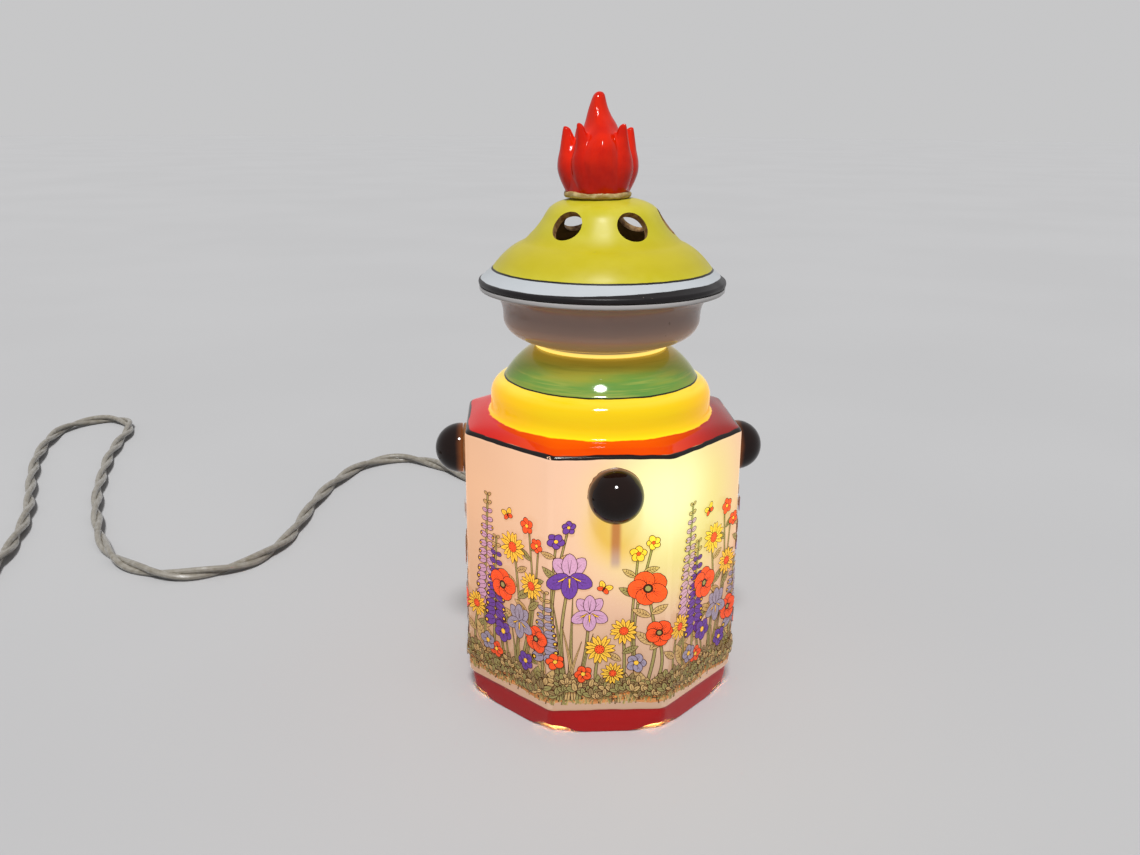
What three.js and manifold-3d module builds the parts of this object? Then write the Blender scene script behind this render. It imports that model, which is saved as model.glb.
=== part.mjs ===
import * as THREE from 'three';
import { mergeVertices } from 'three/addons/utils/BufferGeometryUtils.js';
import { LoftGeometry } from 'three/addons/geometries/LoftGeometry.js';
import Module from 'manifold-3d';

// Porcelain aroma lamp. An octagonal tower holds a small bulb, an oil dish stands on its neck over
// the bulb's heat, and a pierced lid with a flame on top covers the dish.
// Millimetres, +Z up. The front wall faces -Y, and the origin is in the middle of the underside.

// Fits
const SEAT_GAP = 0.3;

// Tower walls and foot
const SIDES = 8;
const WALL_APOTHEM = 49.8;
const WALL_TAPER = 0.2;
const WALL_HEIGHT = 97;
const WALL_THICKNESS = 3.6;
const CORNER_RADIUS = 5;
const FOOT_HEIGHT = 8.6;
const FOOT_SET_BACK = 1.6;
const FOOT_FLARE = 0.6;
const FOOT_ROUNDING = 2.4;
const EDGE_ROUNDING = 1.2;
const SLOT_HEIGHT = 3;
const SLOT_REACH = 9.5;

// Shoulder, collar, dome and neck
const SHOULDER_RISE = 2.4;
const COLLAR_RADIUS = 40.5;
const COLLAR_BEAD = 1;
const COLLAR_SIDE = 6.1;
const COLLAR_ROUNDING = 6.9;
const COLLAR_DRAW_IN = 5;
const DOME_RISE = 11;
const DOME_SWELL = 1.6;
const NECK_RADIUS = 24.4;
const MOUTH_RADIUS = 20.6;

// Oil dish
const DISH_WALL = 3;
const DISH_FOOT_HEIGHT = 2;
const DISH_FOOT_INSET = 0.2;
const SPIGOT_DEPTH = 3;
const SPIGOT_PLAY = 0.6;
const WELL_ROUNDING = 3;
const DISH_RADIUS = 35.6;
const DISH_BELLY_HEIGHT = 8.7;
const DISH_HEIGHT = 22.1;
const RIM_RADIUS = 44;
const RIM_EDGE = 1.7;
const RIM_SEAT_WIDTH = 10;
const RIM_LIP_DEPTH = 3;

// Pierced lid
const LID_WALL = 2.6;
const BAND_HEIGHT = 1.9;
const BRIM_WIDTH = 4.4;
const BRIM_RISE = 3.5;
const LID_STEP = 0.5;
const WAIST_RADIUS = 28.4;
const WAIST_RISE = 8.9;
const CROWN_RADIUS = 20.9;
const CROWN_RISE = 9.1;
const LID_TOP_RADIUS = 10;
const LID_TOP_RISE = 5.9;
const LID_SEAT_WIDTH = 3.8;
const FLANGE_DEPTH = 1.7;
const FLANGE_WIDTH = 2.4;
const FLANGE_PLAY = 0.9;
const VENT_COUNT = 6;
const VENT_RADIUS = 5.6;
const VENT_PLACE = 0.85;
const LID_TURN = -8;

// Flame and its cement, which are set a little to the left of the lid's axis
const CEMENT_HEIGHT = 1.4;
const FLAME_BASE_RADIUS = 11.4;
const FLAME_RADIUS = 14.3;
const FLAME_HEIGHT = 33.4;
const TONGUE_HEIGHT = 22.2;
const TONGUE_COUNT = 6;
const TONGUE_STEP = 0.6;
const FLAME_SHIFT = -2;

// Ball knobs and the cement behind them
const KNOB_RADIUS = 9.3;
const KNOB_STAND_OFF = 2.5;
const KNOB_HEIGHT = 92.7;
const FRONT_KNOB_SHIFT = 1.3;
const PAD_THICKNESS = 0.9;
const PAD_OVERLAP = 0.3;

// Spring bow that clamps between the front and rear walls and carries the lampholder
const BOW_WIDTH = 5;
const BOW_THICKNESS = 0.9;
const BOW_BAR_HEIGHT = 22;
const BOW_ARM_TOP = 84;
const BOW_BEND = 8;
const BOW_CURL = 3;

// Lampholder
const NIPPLE_RADIUS = 5;
const NIPPLE_ABOVE_BOW = 8;
const NIPPLE_BELOW_BOW = 6.5;
const NUT_ACROSS_FLATS = 14;
const NUT_HEIGHT = 4;
const HOLDER_RADIUS = 13.5;
const HOLDER_WALL = 1.8;
const HOLDER_BASE_HEIGHT = 15;
const HOLDER_LAP = 5;
const HOLDER_SHELL_HEIGHT = 29;
const HOLDER_LIP = 3.2;
const THREAD_WALL = 0.6;
const THREAD_HEIGHT = 18;
const CONTACT_HEIGHT = 3.2;
const CONTACT_RADIUS = 3;

// Bulb with an E14 cap
const CAP_RADIUS = 6.9;
const CAP_WALL = 0.45;
const CAP_HEIGHT = 17.4;
const CAP_PLAY = 0.4;
const INSULATOR_HEIGHT = 4.3;
const TIP_RADIUS = 2.2;
const TIP_HEIGHT = 1.2;
const BULB_RADIUS = 13;
const BULB_LENGTH = 57;
const GLASS_WALL = 0.8;
const GLASS_SEAT = 6;
const GLASS_SHOULDER = 13;
const STEM_RADIUS = 1.5;
const STEM_HEIGHT = 22;
const FILAMENT_SPAN = 12;
const FILAMENT_RISE = 8;
const FILAMENT_WIRE = 0.6;

// Lead: two twisted cores, taken as a round lead of their outer diameter
const LEAD_DIAMETER = 6;
const HOLE_X = -14;
const HOLE_HEIGHT = 14;
const HOLE_PLAY = 0.3;
const BUSH_LENGTH = 24;
const BUSH_NECK_WALL = 1;
const BUSH_ROOT_WALL = 2;
const BUSH_END_WALL = 1;
const BUSH_FLANGE = 2.6;
const BUSH_FLANGE_THICKNESS = 1.6;
const INNER_LEAD_REACH = 10;
const LEAD_BEND = 10.5;

// The lead on its way: down behind the tower, over the table, and up to the coil. A fall or climb point
// is its distance aside, its distance along Y, and its share of the whole height.
const LEAD_REST = 0.1;
const LEAD_FALL = [[0, 14, 1], [0.5, 28, 0.82], [1.5, 44, 0.4], [4, 60, 0.08]];
const LEAD_CLIMB = [[4, 49, 0.15], [1, 27, 0.75], [0, 13, 1]];
const LEAD_ROUTE = [
    [-22, 151], [-35, 178], [-54, 201], [-73, 225], [-96, 244], [-111, 245], [-123, 238],
    [-131, 226], [-137, 211], [-144, 182], [-147, 152], [-150, 122], [-162, 95], [-188, 82],
    [-216, 91], [-237, 113], [-251, 139], [-263, 167], [-273, 195], [-281, 223], [-289, 254],
    [-294, 283], [-297, 309], [-303, 327], [-319, 338], [-336, 330], [-343, 312], [-341, 286],
    [-334, 256], [-324, 227], [-312, 197], [-300, 168], [-291, 139],
];

// Coil of the spare lead
const COIL_X = -320;
const COIL_Y = 55;
const COIL_START_RADIUS = 39;
const COIL_PITCH = LEAD_DIAMETER + 0.6;
const COIL_TURNS_IN = 1.5;
const COIL_TURNS_OUT = 1.5;
const COIL_FLOOR = 1.4;
const TAIL_LENGTH = 46;
const LEAD_STRAIGHT = 8;
const TIE_ANGLE = 60;
const TIE_WIDTH = 8;
const TIE_THICKNESS = 1;
const TIE_PLAY = 0.5;

// Flat two-pin plug
const PLUG_THICKNESS = 13.7;
const PLUG_WIDTH = 35.3;
const PLUG_LENGTH = 35;
const PLUG_NECK_WIDTH = 13;
const PLUG_EDGE = 1.5;
const PLUG_CHAMFER = 3;
const BOOT_LENGTH = 20;
const BOOT_END_RADIUS = 3.9;
const BOOT_ROOT_RADIUS = 5.4;
const PIN_RADIUS = 2;
const PIN_LENGTH = 19;
const PIN_SPACING = 18.6;
const PIN_SOCKET = 5;

// Heights up the tower, from the table
const EDGE_Z = FOOT_HEIGHT + WALL_HEIGHT;
const COLLAR_Z = EDGE_Z + SHOULDER_RISE;
const DOME_Z = COLLAR_Z + COLLAR_SIDE + COLLAR_ROUNDING;
const NECK_Z = DOME_Z + DOME_RISE;
const DISH_Z = NECK_Z + SEAT_GAP;
const RIM_Z = DISH_Z + DISH_HEIGHT;
const LID_Z = RIM_Z + SEAT_GAP;
const BAND_Z = LID_Z + BAND_HEIGHT;
const BRIM_Z = BAND_Z + BRIM_RISE;
const WAIST_Z = BRIM_Z + LID_STEP + WAIST_RISE;
const CROWN_Z = WAIST_Z + CROWN_RISE;
const LID_TOP_Z = CROWN_Z + LID_TOP_RISE;
const CEMENT_Z = LID_TOP_Z + SEAT_GAP;
const FLAME_Z = CEMENT_Z + CEMENT_HEIGHT + SEAT_GAP;

// Heights up the lampholder and the bulb
const HOLDER_Z = BOW_BAR_HEIGHT + SEAT_GAP;
const HOLDER_TOP_Z = HOLDER_Z + HOLDER_BASE_HEIGHT;
const CONTACT_Z = HOLDER_TOP_Z + SEAT_GAP;
const TIP_Z = CONTACT_Z + CONTACT_HEIGHT + SEAT_GAP;
const INSULATOR_Z = TIP_Z + TIP_HEIGHT + SEAT_GAP;
const CAP_Z = INSULATOR_Z + INSULATOR_HEIGHT / 2;
const CAP_TOP_Z = CAP_Z + CAP_HEIGHT;
const GLASS_Z = CAP_TOP_Z - GLASS_SEAT;

// Facets
const WALL_ANGLES = [-22.5, -20.4, -12, 0, 12, 20.4];
const ROUND_SEGMENTS = 42;
const SMALL_SEGMENTS = 20;
const TINY_SEGMENTS = 12;
const BALL_SEGMENTS = 16;
const CURVE_STEPS = 4;
const LEAD_SIDES = 6;
const LEAD_STEP = 15;
const COIL_SIDES = 6;
const COIL_STEPS_PER_TURN = 24;

const wasm = await Module();
wasm.setup();

// Basic solids

function radians(degrees) {
    return THREE.MathUtils.degToRad(degrees);
}

function withoutSlivers(geometry) {
    const index = geometry.index.array;
    const kept = [];
    for (let i = 0; i < index.length; i += 3) {
        const [a, b, c] = [index[i], index[i + 1], index[i + 2]];
        if (a !== b && b !== c && c !== a) {
            kept.push(a, b, c);
        }
    }
    geometry.setIndex(kept);
    return geometry;
}

function signedVolume(geometry) {
    const place = geometry.attributes.position;
    const index = geometry.index.array;
    const corner = [new THREE.Vector3(), new THREE.Vector3(), new THREE.Vector3()];
    let volume = 0;
    for (let i = 0; i < index.length; i += 3) {
        corner.forEach((point, k) => point.fromBufferAttribute(place, index[i + k]));
        volume += corner[0].dot(corner[1].clone().cross(corner[2])) / 6;
    }
    return volume;
}

// A closed mesh with shared points, facing outwards
function closed(geometry) {
    geometry.deleteAttribute('normal');
    geometry.deleteAttribute('uv');
    const welded = withoutSlivers(mergeVertices(geometry, 1e-4));
    if (signedVolume(welded) < 0) {
        welded.setIndex(Array.from(welded.index.array).reverse());
    }
    welded.computeVertexNormals();
    return welded;
}

function solidOf(geometry) {
    const tidy = closed(new THREE.BufferGeometry().copy(geometry));
    return new wasm.Manifold(new wasm.Mesh({
        numProp: 3,
        vertProperties: new Float32Array(tidy.attributes.position.array),
        triVerts: new Uint32Array(tidy.index.array),
    }));
}

function geometryOf(solid) {
    const mesh = solid.getMesh();
    const geometry = new THREE.BufferGeometry();
    geometry.setAttribute('position', new THREE.BufferAttribute(mesh.vertProperties, 3));
    geometry.setIndex(Array.from(mesh.triVerts));
    geometry.computeVertexNormals();
    return geometry;
}

function cut(geometry, tools) {
    let solid = solidOf(geometry);
    for (const tool of tools) {
        solid = solid.subtract(solidOf(tool));
    }
    return geometryOf(solid);
}

function join(geometries) {
    let solid = solidOf(geometries[0]);
    for (const other of geometries.slice(1)) {
        solid = solid.add(solidOf(other));
    }
    return geometryOf(solid);
}

// A profile of (radius, height) points turned about the Z axis
function revolve(points, segments) {
    return closed(new THREE.LatheGeometry(points, segments).rotateX(Math.PI / 2));
}

function point2(radius, height) {
    return new THREE.Vector2(radius, height);
}

// The same line again, moved to its left by a wall's thickness
function inset(points, thickness) {
    return points.map((point, i) => {
        const before = points[Math.max(i - 1, 0)];
        const after = points[Math.min(i + 1, points.length - 1)];
        const along = after.clone().sub(before).normalize();
        return point2(point.x - along.y * thickness, point.y + along.x * thickness);
    });
}

// Every other point of a line, for surfaces that nobody sees
function coarse(points) {
    return points.filter((point, i) => i % 2 === 0);
}

function profileOf(corners) {
    return corners.map(([radius, height]) => point2(radius, height));
}

function annulus(inner, outer, low, high, segments) {
    const corners = [[inner, low], [outer, low], [outer, high], [inner, high], [inner, low]];
    return revolve(profileOf(corners), segments);
}

function polygonShape(radius, sides) {
    const corners = [];
    for (let i = 0; i < sides; i++) {
        const turn = (2 * Math.PI * (i + 0.5)) / sides;
        corners.push(point2(radius * Math.cos(turn), radius * Math.sin(turn)));
    }
    return new THREE.Shape(corners);
}

function tube(curve, radius, sides, steps) {
    const section = polygonShape(radius, sides);
    return closed(new THREE.ExtrudeGeometry(section, { steps, bevelEnabled: false, extrudePath: curve }));
}

// Tower

// How far a rounded octagon reaches in one direction
function octagonReach(degrees, apothem, rounding) {
    const sector = 360 / SIDES;
    const fromFace = Math.abs(degrees);
    const centre = (apothem - rounding) / Math.cos(radians(sector / 2));
    const flatEnd = Math.atan(((apothem - rounding) * Math.tan(radians(sector / 2))) / apothem);
    if (radians(fromFace) <= flatEnd) {
        return apothem / Math.cos(radians(fromFace));
    }
    const fromCorner = radians(sector / 2 - fromFace);
    const aside = centre * Math.sin(fromCorner);
    return centre * Math.cos(fromCorner) + Math.sqrt(rounding ** 2 - aside ** 2);
}

// One ring of the tower: an octagon where a corner radius is given, otherwise a circle
function towerRing({ reach, z, corner }) {
    const ring = [];
    for (let side = 0; side < SIDES; side++) {
        for (const degrees of WALL_ANGLES) {
            const distance = corner ? octagonReach(degrees, reach, corner) : reach;
            const turn = radians((360 / SIDES) * side + degrees);
            ring.push(new THREE.Vector3(distance * Math.cos(turn), distance * Math.sin(turn), z));
        }
    }
    return ring;
}

// The collar's and the dome's outline, from the shoulder up to the neck
function neckOutline() {
    const sideTop = COLLAR_Z + COLLAR_SIDE;
    const domeFoot = COLLAR_RADIUS - COLLAR_DRAW_IN;
    const path = new THREE.Path();
    path.moveTo(COLLAR_RADIUS + COLLAR_BEAD, COLLAR_Z);
    const beadTop = COLLAR_Z + 2 * COLLAR_BEAD;
    path.quadraticCurveTo(COLLAR_RADIUS, COLLAR_Z + COLLAR_BEAD / 2, COLLAR_RADIUS, beadTop);
    path.lineTo(COLLAR_RADIUS, sideTop);
    path.quadraticCurveTo(COLLAR_RADIUS, sideTop + COLLAR_ROUNDING * 0.72, domeFoot, DOME_Z);
    const domeMiddle = (domeFoot + NECK_RADIUS) / 2 + DOME_SWELL;
    path.quadraticCurveTo(domeMiddle, DOME_Z + DOME_RISE * 0.64, NECK_RADIUS, NECK_Z);
    return path.getPoints(CURVE_STEPS);
}

function towerOutside() {
    const foot = WALL_APOTHEM - FOOT_SET_BACK;
    const top = WALL_APOTHEM - WALL_TAPER;
    const walls = [
        [foot - FOOT_FLARE, 0],
        [foot, FOOT_FLARE],
        [foot + FOOT_FLARE, FOOT_HEIGHT],
        [WALL_APOTHEM, FOOT_HEIGHT + FOOT_ROUNDING],
        [top, EDGE_Z - 2 * EDGE_ROUNDING],
        [top - EDGE_ROUNDING / 3, EDGE_Z - EDGE_ROUNDING * 0.7],
        [top - EDGE_ROUNDING, EDGE_Z],
    ].map(([reach, z]) => ({ reach, z, corner: CORNER_RADIUS }));
    return [...walls, ...neckOutline().map((p) => ({ reach: p.x, z: p.y, corner: 0 }))];
}

function towerInside() {
    const foot = WALL_APOTHEM - FOOT_SET_BACK - FOOT_FLARE - WALL_THICKNESS;
    const wall = WALL_APOTHEM - WALL_THICKNESS;
    const corner = Math.max(CORNER_RADIUS - WALL_THICKNESS, 1);
    const roof = coarse(inset(neckOutline().slice(CURVE_STEPS), WALL_THICKNESS))
        .filter((p) => p.x > MOUTH_RADIUS)
        .map((p) => ({ reach: p.x, z: p.y, corner: 0 }));
    const roofTop = roof[roof.length - 1].z;
    return [
        { reach: foot, z: 0, corner },
        { reach: wall, z: FOOT_HEIGHT + FOOT_ROUNDING, corner },
        { reach: wall - WALL_TAPER, z: EDGE_Z - WALL_THICKNESS, corner },
        { reach: COLLAR_RADIUS - WALL_THICKNESS, z: COLLAR_Z - WALL_THICKNESS, corner: 0 },
        ...roof,
        { reach: MOUTH_RADIUS, z: Math.min(roofTop + 1, NECK_Z - 1), corner: 0 },
        { reach: MOUTH_RADIUS, z: NECK_Z, corner: 0 },
    ];
}

// Arched slots under the foot's corners, which let light out over the table
function footSlots() {
    const halfWidth = SLOT_REACH * Math.cos(Math.PI / SIDES);
    const radius = (halfWidth ** 2 + SLOT_HEIGHT ** 2) / (2 * SLOT_HEIGHT);
    const length = 10 * WALL_THICKNESS;
    const slots = [];
    for (let i = 0; i < SIDES; i++) {
        const slot = new THREE.CylinderGeometry(radius, radius, length, ROUND_SEGMENTS);
        slot.translate(0, WALL_APOTHEM, SLOT_HEIGHT - radius);
        slot.rotateZ((2 * Math.PI * (i + 0.5)) / SIDES);
        slots.push(slot);
    }
    return slots;
}

function leadHole() {
    const radius = LEAD_DIAMETER / 2 + SEAT_GAP + BUSH_NECK_WALL + HOLE_PLAY;
    const hole = new THREE.CylinderGeometry(radius, radius, 4 * WALL_THICKNESS, SMALL_SEGMENTS);
    return hole.translate(HOLE_X, WALL_APOTHEM, HOLE_HEIGHT);
}

function bodyShell() {
    const rings = [...towerOutside(), ...towerInside().reverse()].map(towerRing);
    const shell = new LoftGeometry([...rings, rings[0]]);
    return cut(shell, [...footSlots(), leadHole()]);
}

// Oil dish and lid

function dishOutline() {
    const footRadius = NECK_RADIUS - DISH_FOOT_INSET;
    const footTop = DISH_Z + DISH_FOOT_HEIGHT;
    const belly = DISH_Z + DISH_FOOT_HEIGHT + DISH_BELLY_HEIGHT;
    const path = new THREE.Path();
    path.moveTo(footRadius, DISH_Z);
    path.lineTo(footRadius, footTop);
    path.bezierCurveTo(
        footRadius + 0.6 * (DISH_RADIUS - footRadius), footTop,
        DISH_RADIUS, belly - 0.5 * DISH_BELLY_HEIGHT,
        DISH_RADIUS, belly,
    );
    path.bezierCurveTo(
        DISH_RADIUS, belly + 0.48 * (RIM_Z - belly),
        DISH_RADIUS + 0.22 * (RIM_RADIUS - DISH_RADIUS), belly + 0.82 * (RIM_Z - belly),
        RIM_RADIUS, RIM_Z - RIM_EDGE,
    );
    return path.getPoints(CURVE_STEPS + 1);
}

function oilDish() {
    const spigot = MOUTH_RADIUS - SPIGOT_PLAY;
    const spigotZ = DISH_Z - SPIGOT_DEPTH;
    const outline = dishOutline();
    const mouth = RIM_RADIUS - RIM_SEAT_WIDTH;
    const lip = RIM_Z - RIM_LIP_DEPTH;
    const wellWall = coarse(inset(outline.slice(2), DISH_WALL)).filter((p) => p.y < lip && p.x < mouth);
    const outside = [
        point2(0, spigotZ),
        point2(spigot - SPIGOT_DEPTH / 3, spigotZ),
        point2(spigot, spigotZ + SPIGOT_DEPTH / 3),
        point2(spigot, DISH_Z),
        ...outline,
        point2(RIM_RADIUS, RIM_Z),
        point2(mouth, RIM_Z),
    ];
    const inside = [
        point2(mouth, lip),
        ...wellWall.reverse(),
        point2(spigot - WELL_ROUNDING, spigotZ + DISH_WALL),
        point2(0, spigotZ + DISH_WALL),
    ];
    return revolve([...outside, ...inside], ROUND_SEGMENTS);
}

// The lid's outside above its black band: brim, waist, crown and flat top
function lidOutline() {
    const brimRadius = RIM_RADIUS - BRIM_WIDTH;
    const path = new THREE.Path();
    path.moveTo(RIM_RADIUS - LID_STEP, BAND_Z);
    path.lineTo(brimRadius, BRIM_Z);
    path.lineTo(brimRadius - LID_STEP, BRIM_Z + LID_STEP);
    path.bezierCurveTo(
        brimRadius - 0.3 * (brimRadius - WAIST_RADIUS), BRIM_Z + LID_STEP + 0.44 * WAIST_RISE,
        WAIST_RADIUS + 0.4 * (brimRadius - WAIST_RADIUS), WAIST_Z - 0.2 * WAIST_RISE,
        WAIST_RADIUS, WAIST_Z,
    );
    path.bezierCurveTo(
        WAIST_RADIUS - 0.35 * (WAIST_RADIUS - CROWN_RADIUS), WAIST_Z + 0.19 * CROWN_RISE,
        CROWN_RADIUS + 0.3 * (WAIST_RADIUS - CROWN_RADIUS), CROWN_Z - 0.33 * CROWN_RISE,
        CROWN_RADIUS, CROWN_Z,
    );
    path.bezierCurveTo(
        CROWN_RADIUS - 0.18 * (CROWN_RADIUS - LID_TOP_RADIUS), CROWN_Z + 0.54 * LID_TOP_RISE,
        LID_TOP_RADIUS + 0.56 * (CROWN_RADIUS - LID_TOP_RADIUS), LID_TOP_Z - 0.14 * LID_TOP_RISE,
        LID_TOP_RADIUS, LID_TOP_Z,
    );
    return path.getPoints(CURVE_STEPS);
}

function lidBlank() {
    const outline = lidOutline();
    const roof = inset(outline, LID_WALL);
    const seat = RIM_RADIUS - LID_SEAT_WIDTH;
    const flangeOuter = RIM_RADIUS - RIM_SEAT_WIDTH - FLANGE_PLAY;
    const flangeInner = flangeOuter - FLANGE_WIDTH;
    const flangeFoot = LID_Z - FLANGE_DEPTH;
    const groove = roof.filter((p) => p.x < seat && p.x > flangeOuter);
    const dome = coarse(roof.filter((p) => p.x < flangeInner));
    const outside = [
        point2(seat, LID_Z),
        point2(RIM_RADIUS, LID_Z),
        point2(RIM_RADIUS + LID_STEP / 2, (LID_Z + BAND_Z) / 2),
        point2(RIM_RADIUS, BAND_Z - LID_STEP / 2),
        ...outline,
        point2(0, LID_TOP_Z),
    ];
    const inside = [
        point2(0, LID_TOP_Z - LID_WALL),
        ...dome.reverse(),
        point2(flangeInner, dome[dome.length - 1].y - LID_WALL / 2),
        point2(flangeInner, flangeFoot),
        point2(flangeOuter, flangeFoot),
        point2(flangeOuter, groove[groove.length - 1].y - LID_WALL / 2),
        ...groove.reverse(),
        point2(seat, groove[groove.length - 1].y - LID_WALL / 2),
        point2(seat, LID_Z),
    ];
    return revolve([...outside, ...inside], ROUND_SEGMENTS);
}

// Round vents, square to the crown's slope, in a ring
function vents() {
    const slope = Math.atan2(WAIST_RADIUS - CROWN_RADIUS, CROWN_RISE);
    const radius = THREE.MathUtils.lerp(WAIST_RADIUS, CROWN_RADIUS, VENT_PLACE);
    const height = THREE.MathUtils.lerp(WAIST_Z, CROWN_Z, VENT_PLACE);
    const drills = [];
    for (let i = 0; i < VENT_COUNT; i++) {
        const drill = new THREE.CylinderGeometry(VENT_RADIUS, VENT_RADIUS, 6 * LID_WALL, SMALL_SEGMENTS);
        drill.rotateX(Math.PI / 2).rotateY(Math.PI / 2 - slope);
        drill.translate(radius, 0, height);
        drills.push(drill.rotateZ(radians(LID_TURN + (360 * i) / VENT_COUNT)));
    }
    return drills;
}

function piercedLid() {
    return cut(lidBlank(), vents());
}

// Flame

// An oval section at a place, wider across than it is deep
function ovalRing(centre, across, deep, sides) {
    const ring = [];
    for (let i = 0; i < sides; i++) {
        const turn = (2 * Math.PI * i) / sides;
        const [x, y] = [deep * Math.cos(turn), across * Math.sin(turn)];
        ring.push(new THREE.Vector3(centre.x + x, centre.y + y, centre.z));
    }
    return ring;
}

// One outer tongue: it stands at +X, swells to the flame's full radius and runs out to a point.
// Its places and sizes are shares of that radius.
function outerTongue(height) {
    const base = FLAME_BASE_RADIUS / FLAME_RADIUS;
    const stations = [
        { share: 0, outer: base, deep: 0.28, across: 0.32 },
        { share: 0.16, outer: 0.4 * base + 0.6, deep: 0.31, across: 0.37 },
        { share: 0.42, outer: 1, deep: 0.31, across: 0.38 },
        { share: 0.7, outer: 0.98, deep: 0.22, across: 0.28 },
        { share: 0.88, outer: 0.965, deep: 0.13, across: 0.155 },
        { share: 0.97, outer: 0.935, deep: 0.065, across: 0.08 },
        { share: 1, outer: 0.9, deep: 0.022, across: 0.03 },
    ];
    const rings = stations.map(({ share, outer, deep, across }) => {
        const centre = new THREE.Vector3((outer - deep) * FLAME_RADIUS, 0, FLAME_Z + share * height);
        return ovalRing(centre, across * FLAME_RADIUS, deep * FLAME_RADIUS, 10);
    });
    return new LoftGeometry(rings, { capStart: true, capEnd: true });
}

// The tall middle tongue, which leans one way and then the other; shares of the flame's radius too
function middleTongue() {
    const stations = [
        { share: 0, x: 0, radius: 0.76 },
        { share: 0.28, x: 0, radius: 0.82 },
        { share: 0.5, x: 0.014, radius: 0.6 },
        { share: 0.64, x: 0.05, radius: 0.39 },
        { share: 0.74, x: 0.02, radius: 0.3 },
        { share: 0.84, x: -0.035, radius: 0.22 },
        { share: 0.92, x: -0.04, radius: 0.16 },
        { share: 0.975, x: -0.02, radius: 0.1 },
        { share: 1, x: -0.007, radius: 0.035 },
    ];
    const rings = stations.map(({ share, x, radius }) => {
        const centre = new THREE.Vector3(x * FLAME_RADIUS, 0, FLAME_Z + share * FLAME_HEIGHT);
        return ovalRing(centre, radius * FLAME_RADIUS, radius * FLAME_RADIUS, 16);
    });
    return new LoftGeometry(rings, { capStart: true, capEnd: true });
}

function flame() {
    const tongues = [];
    for (let i = 0; i < TONGUE_COUNT; i++) {
        const height = TONGUE_HEIGHT - (i % 2 ? TONGUE_STEP : 0);
        tongues.push(outerTongue(height).rotateZ((2 * Math.PI * i) / TONGUE_COUNT));
    }
    return join([middleTongue(), ...tongues]).translate(FLAME_SHIFT, 0, 0);
}

function cementDisc() {
    const radius = FLAME_BASE_RADIUS - 0.2;
    const corners = [
        [0, CEMENT_Z],
        [radius - 0.4, CEMENT_Z],
        [radius, CEMENT_Z + 0.4 * CEMENT_HEIGHT],
        [radius - 0.3, CEMENT_Z + CEMENT_HEIGHT],
        [0, CEMENT_Z + CEMENT_HEIGHT],
    ];
    return revolve(profileOf(corners), SMALL_SEGMENTS).translate(FLAME_SHIFT, 0, 0);
}

// Ball knobs: each ball has a flat that sits on a cement pad on the wall

const KNOB_FLAT = KNOB_STAND_OFF - PAD_THICKNESS - 2 * SEAT_GAP;
const KNOB_FLAT_RADIUS = Math.sqrt(KNOB_RADIUS ** 2 - KNOB_FLAT ** 2);

function knobBall() {
    const flatTurn = Math.asin(KNOB_FLAT / KNOB_RADIUS);
    const arc = new THREE.Path();
    arc.absarc(0, 0, KNOB_RADIUS, -flatTurn, Math.PI / 2, false);
    const points = arc.getPoints(CURVE_STEPS);
    points[points.length - 1].x = 0;
    return revolve([point2(0, -KNOB_FLAT), ...points], BALL_SEGMENTS);
}

function cementPad() {
    const radius = KNOB_FLAT_RADIUS - PAD_OVERLAP;
    const corners = [[0, 0], [radius, 0], [radius - PAD_OVERLAP, PAD_THICKNESS], [0, PAD_THICKNESS]];
    return revolve(profileOf(corners), BALL_SEGMENTS);
}

// Turns a piece made along +Z to look out of one wall, and sets it that far from the tower's axis
function setOnWall(mesh, degrees, distance, aside) {
    const turn = radians(degrees);
    mesh.rotation.set(0, Math.PI / 2, 0);
    const holder = new THREE.Group();
    holder.add(mesh);
    holder.rotation.z = turn;
    holder.position.set(
        distance * Math.cos(turn) - aside * Math.sin(turn),
        distance * Math.sin(turn) + aside * Math.cos(turn),
        KNOB_HEIGHT,
    );
    return holder;
}

// Spring bow: a flat strip bent into a U, its arms against the front and rear walls

function bowLine() {
    const reach = WALL_APOTHEM - WALL_TAPER - WALL_THICKNESS - SEAT_GAP - BOW_THICKNESS;
    const path = new THREE.Path();
    path.moveTo(-reach + BOW_CURL, BOW_ARM_TOP);
    path.quadraticCurveTo(-reach, BOW_ARM_TOP, -reach, BOW_ARM_TOP - BOW_CURL);
    path.lineTo(-reach, BOW_BAR_HEIGHT + BOW_BEND);
    path.absarc(-reach + BOW_BEND, BOW_BAR_HEIGHT + BOW_BEND, BOW_BEND, Math.PI, 1.5 * Math.PI, false);
    path.lineTo(reach - BOW_BEND, BOW_BAR_HEIGHT);
    path.absarc(reach - BOW_BEND, BOW_BAR_HEIGHT + BOW_BEND, BOW_BEND, 1.5 * Math.PI, 2 * Math.PI, false);
    path.lineTo(reach, BOW_ARM_TOP - BOW_CURL);
    path.quadraticCurveTo(reach, BOW_ARM_TOP, reach - BOW_CURL, BOW_ARM_TOP);
    return path.getPoints(CURVE_STEPS);
}

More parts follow.
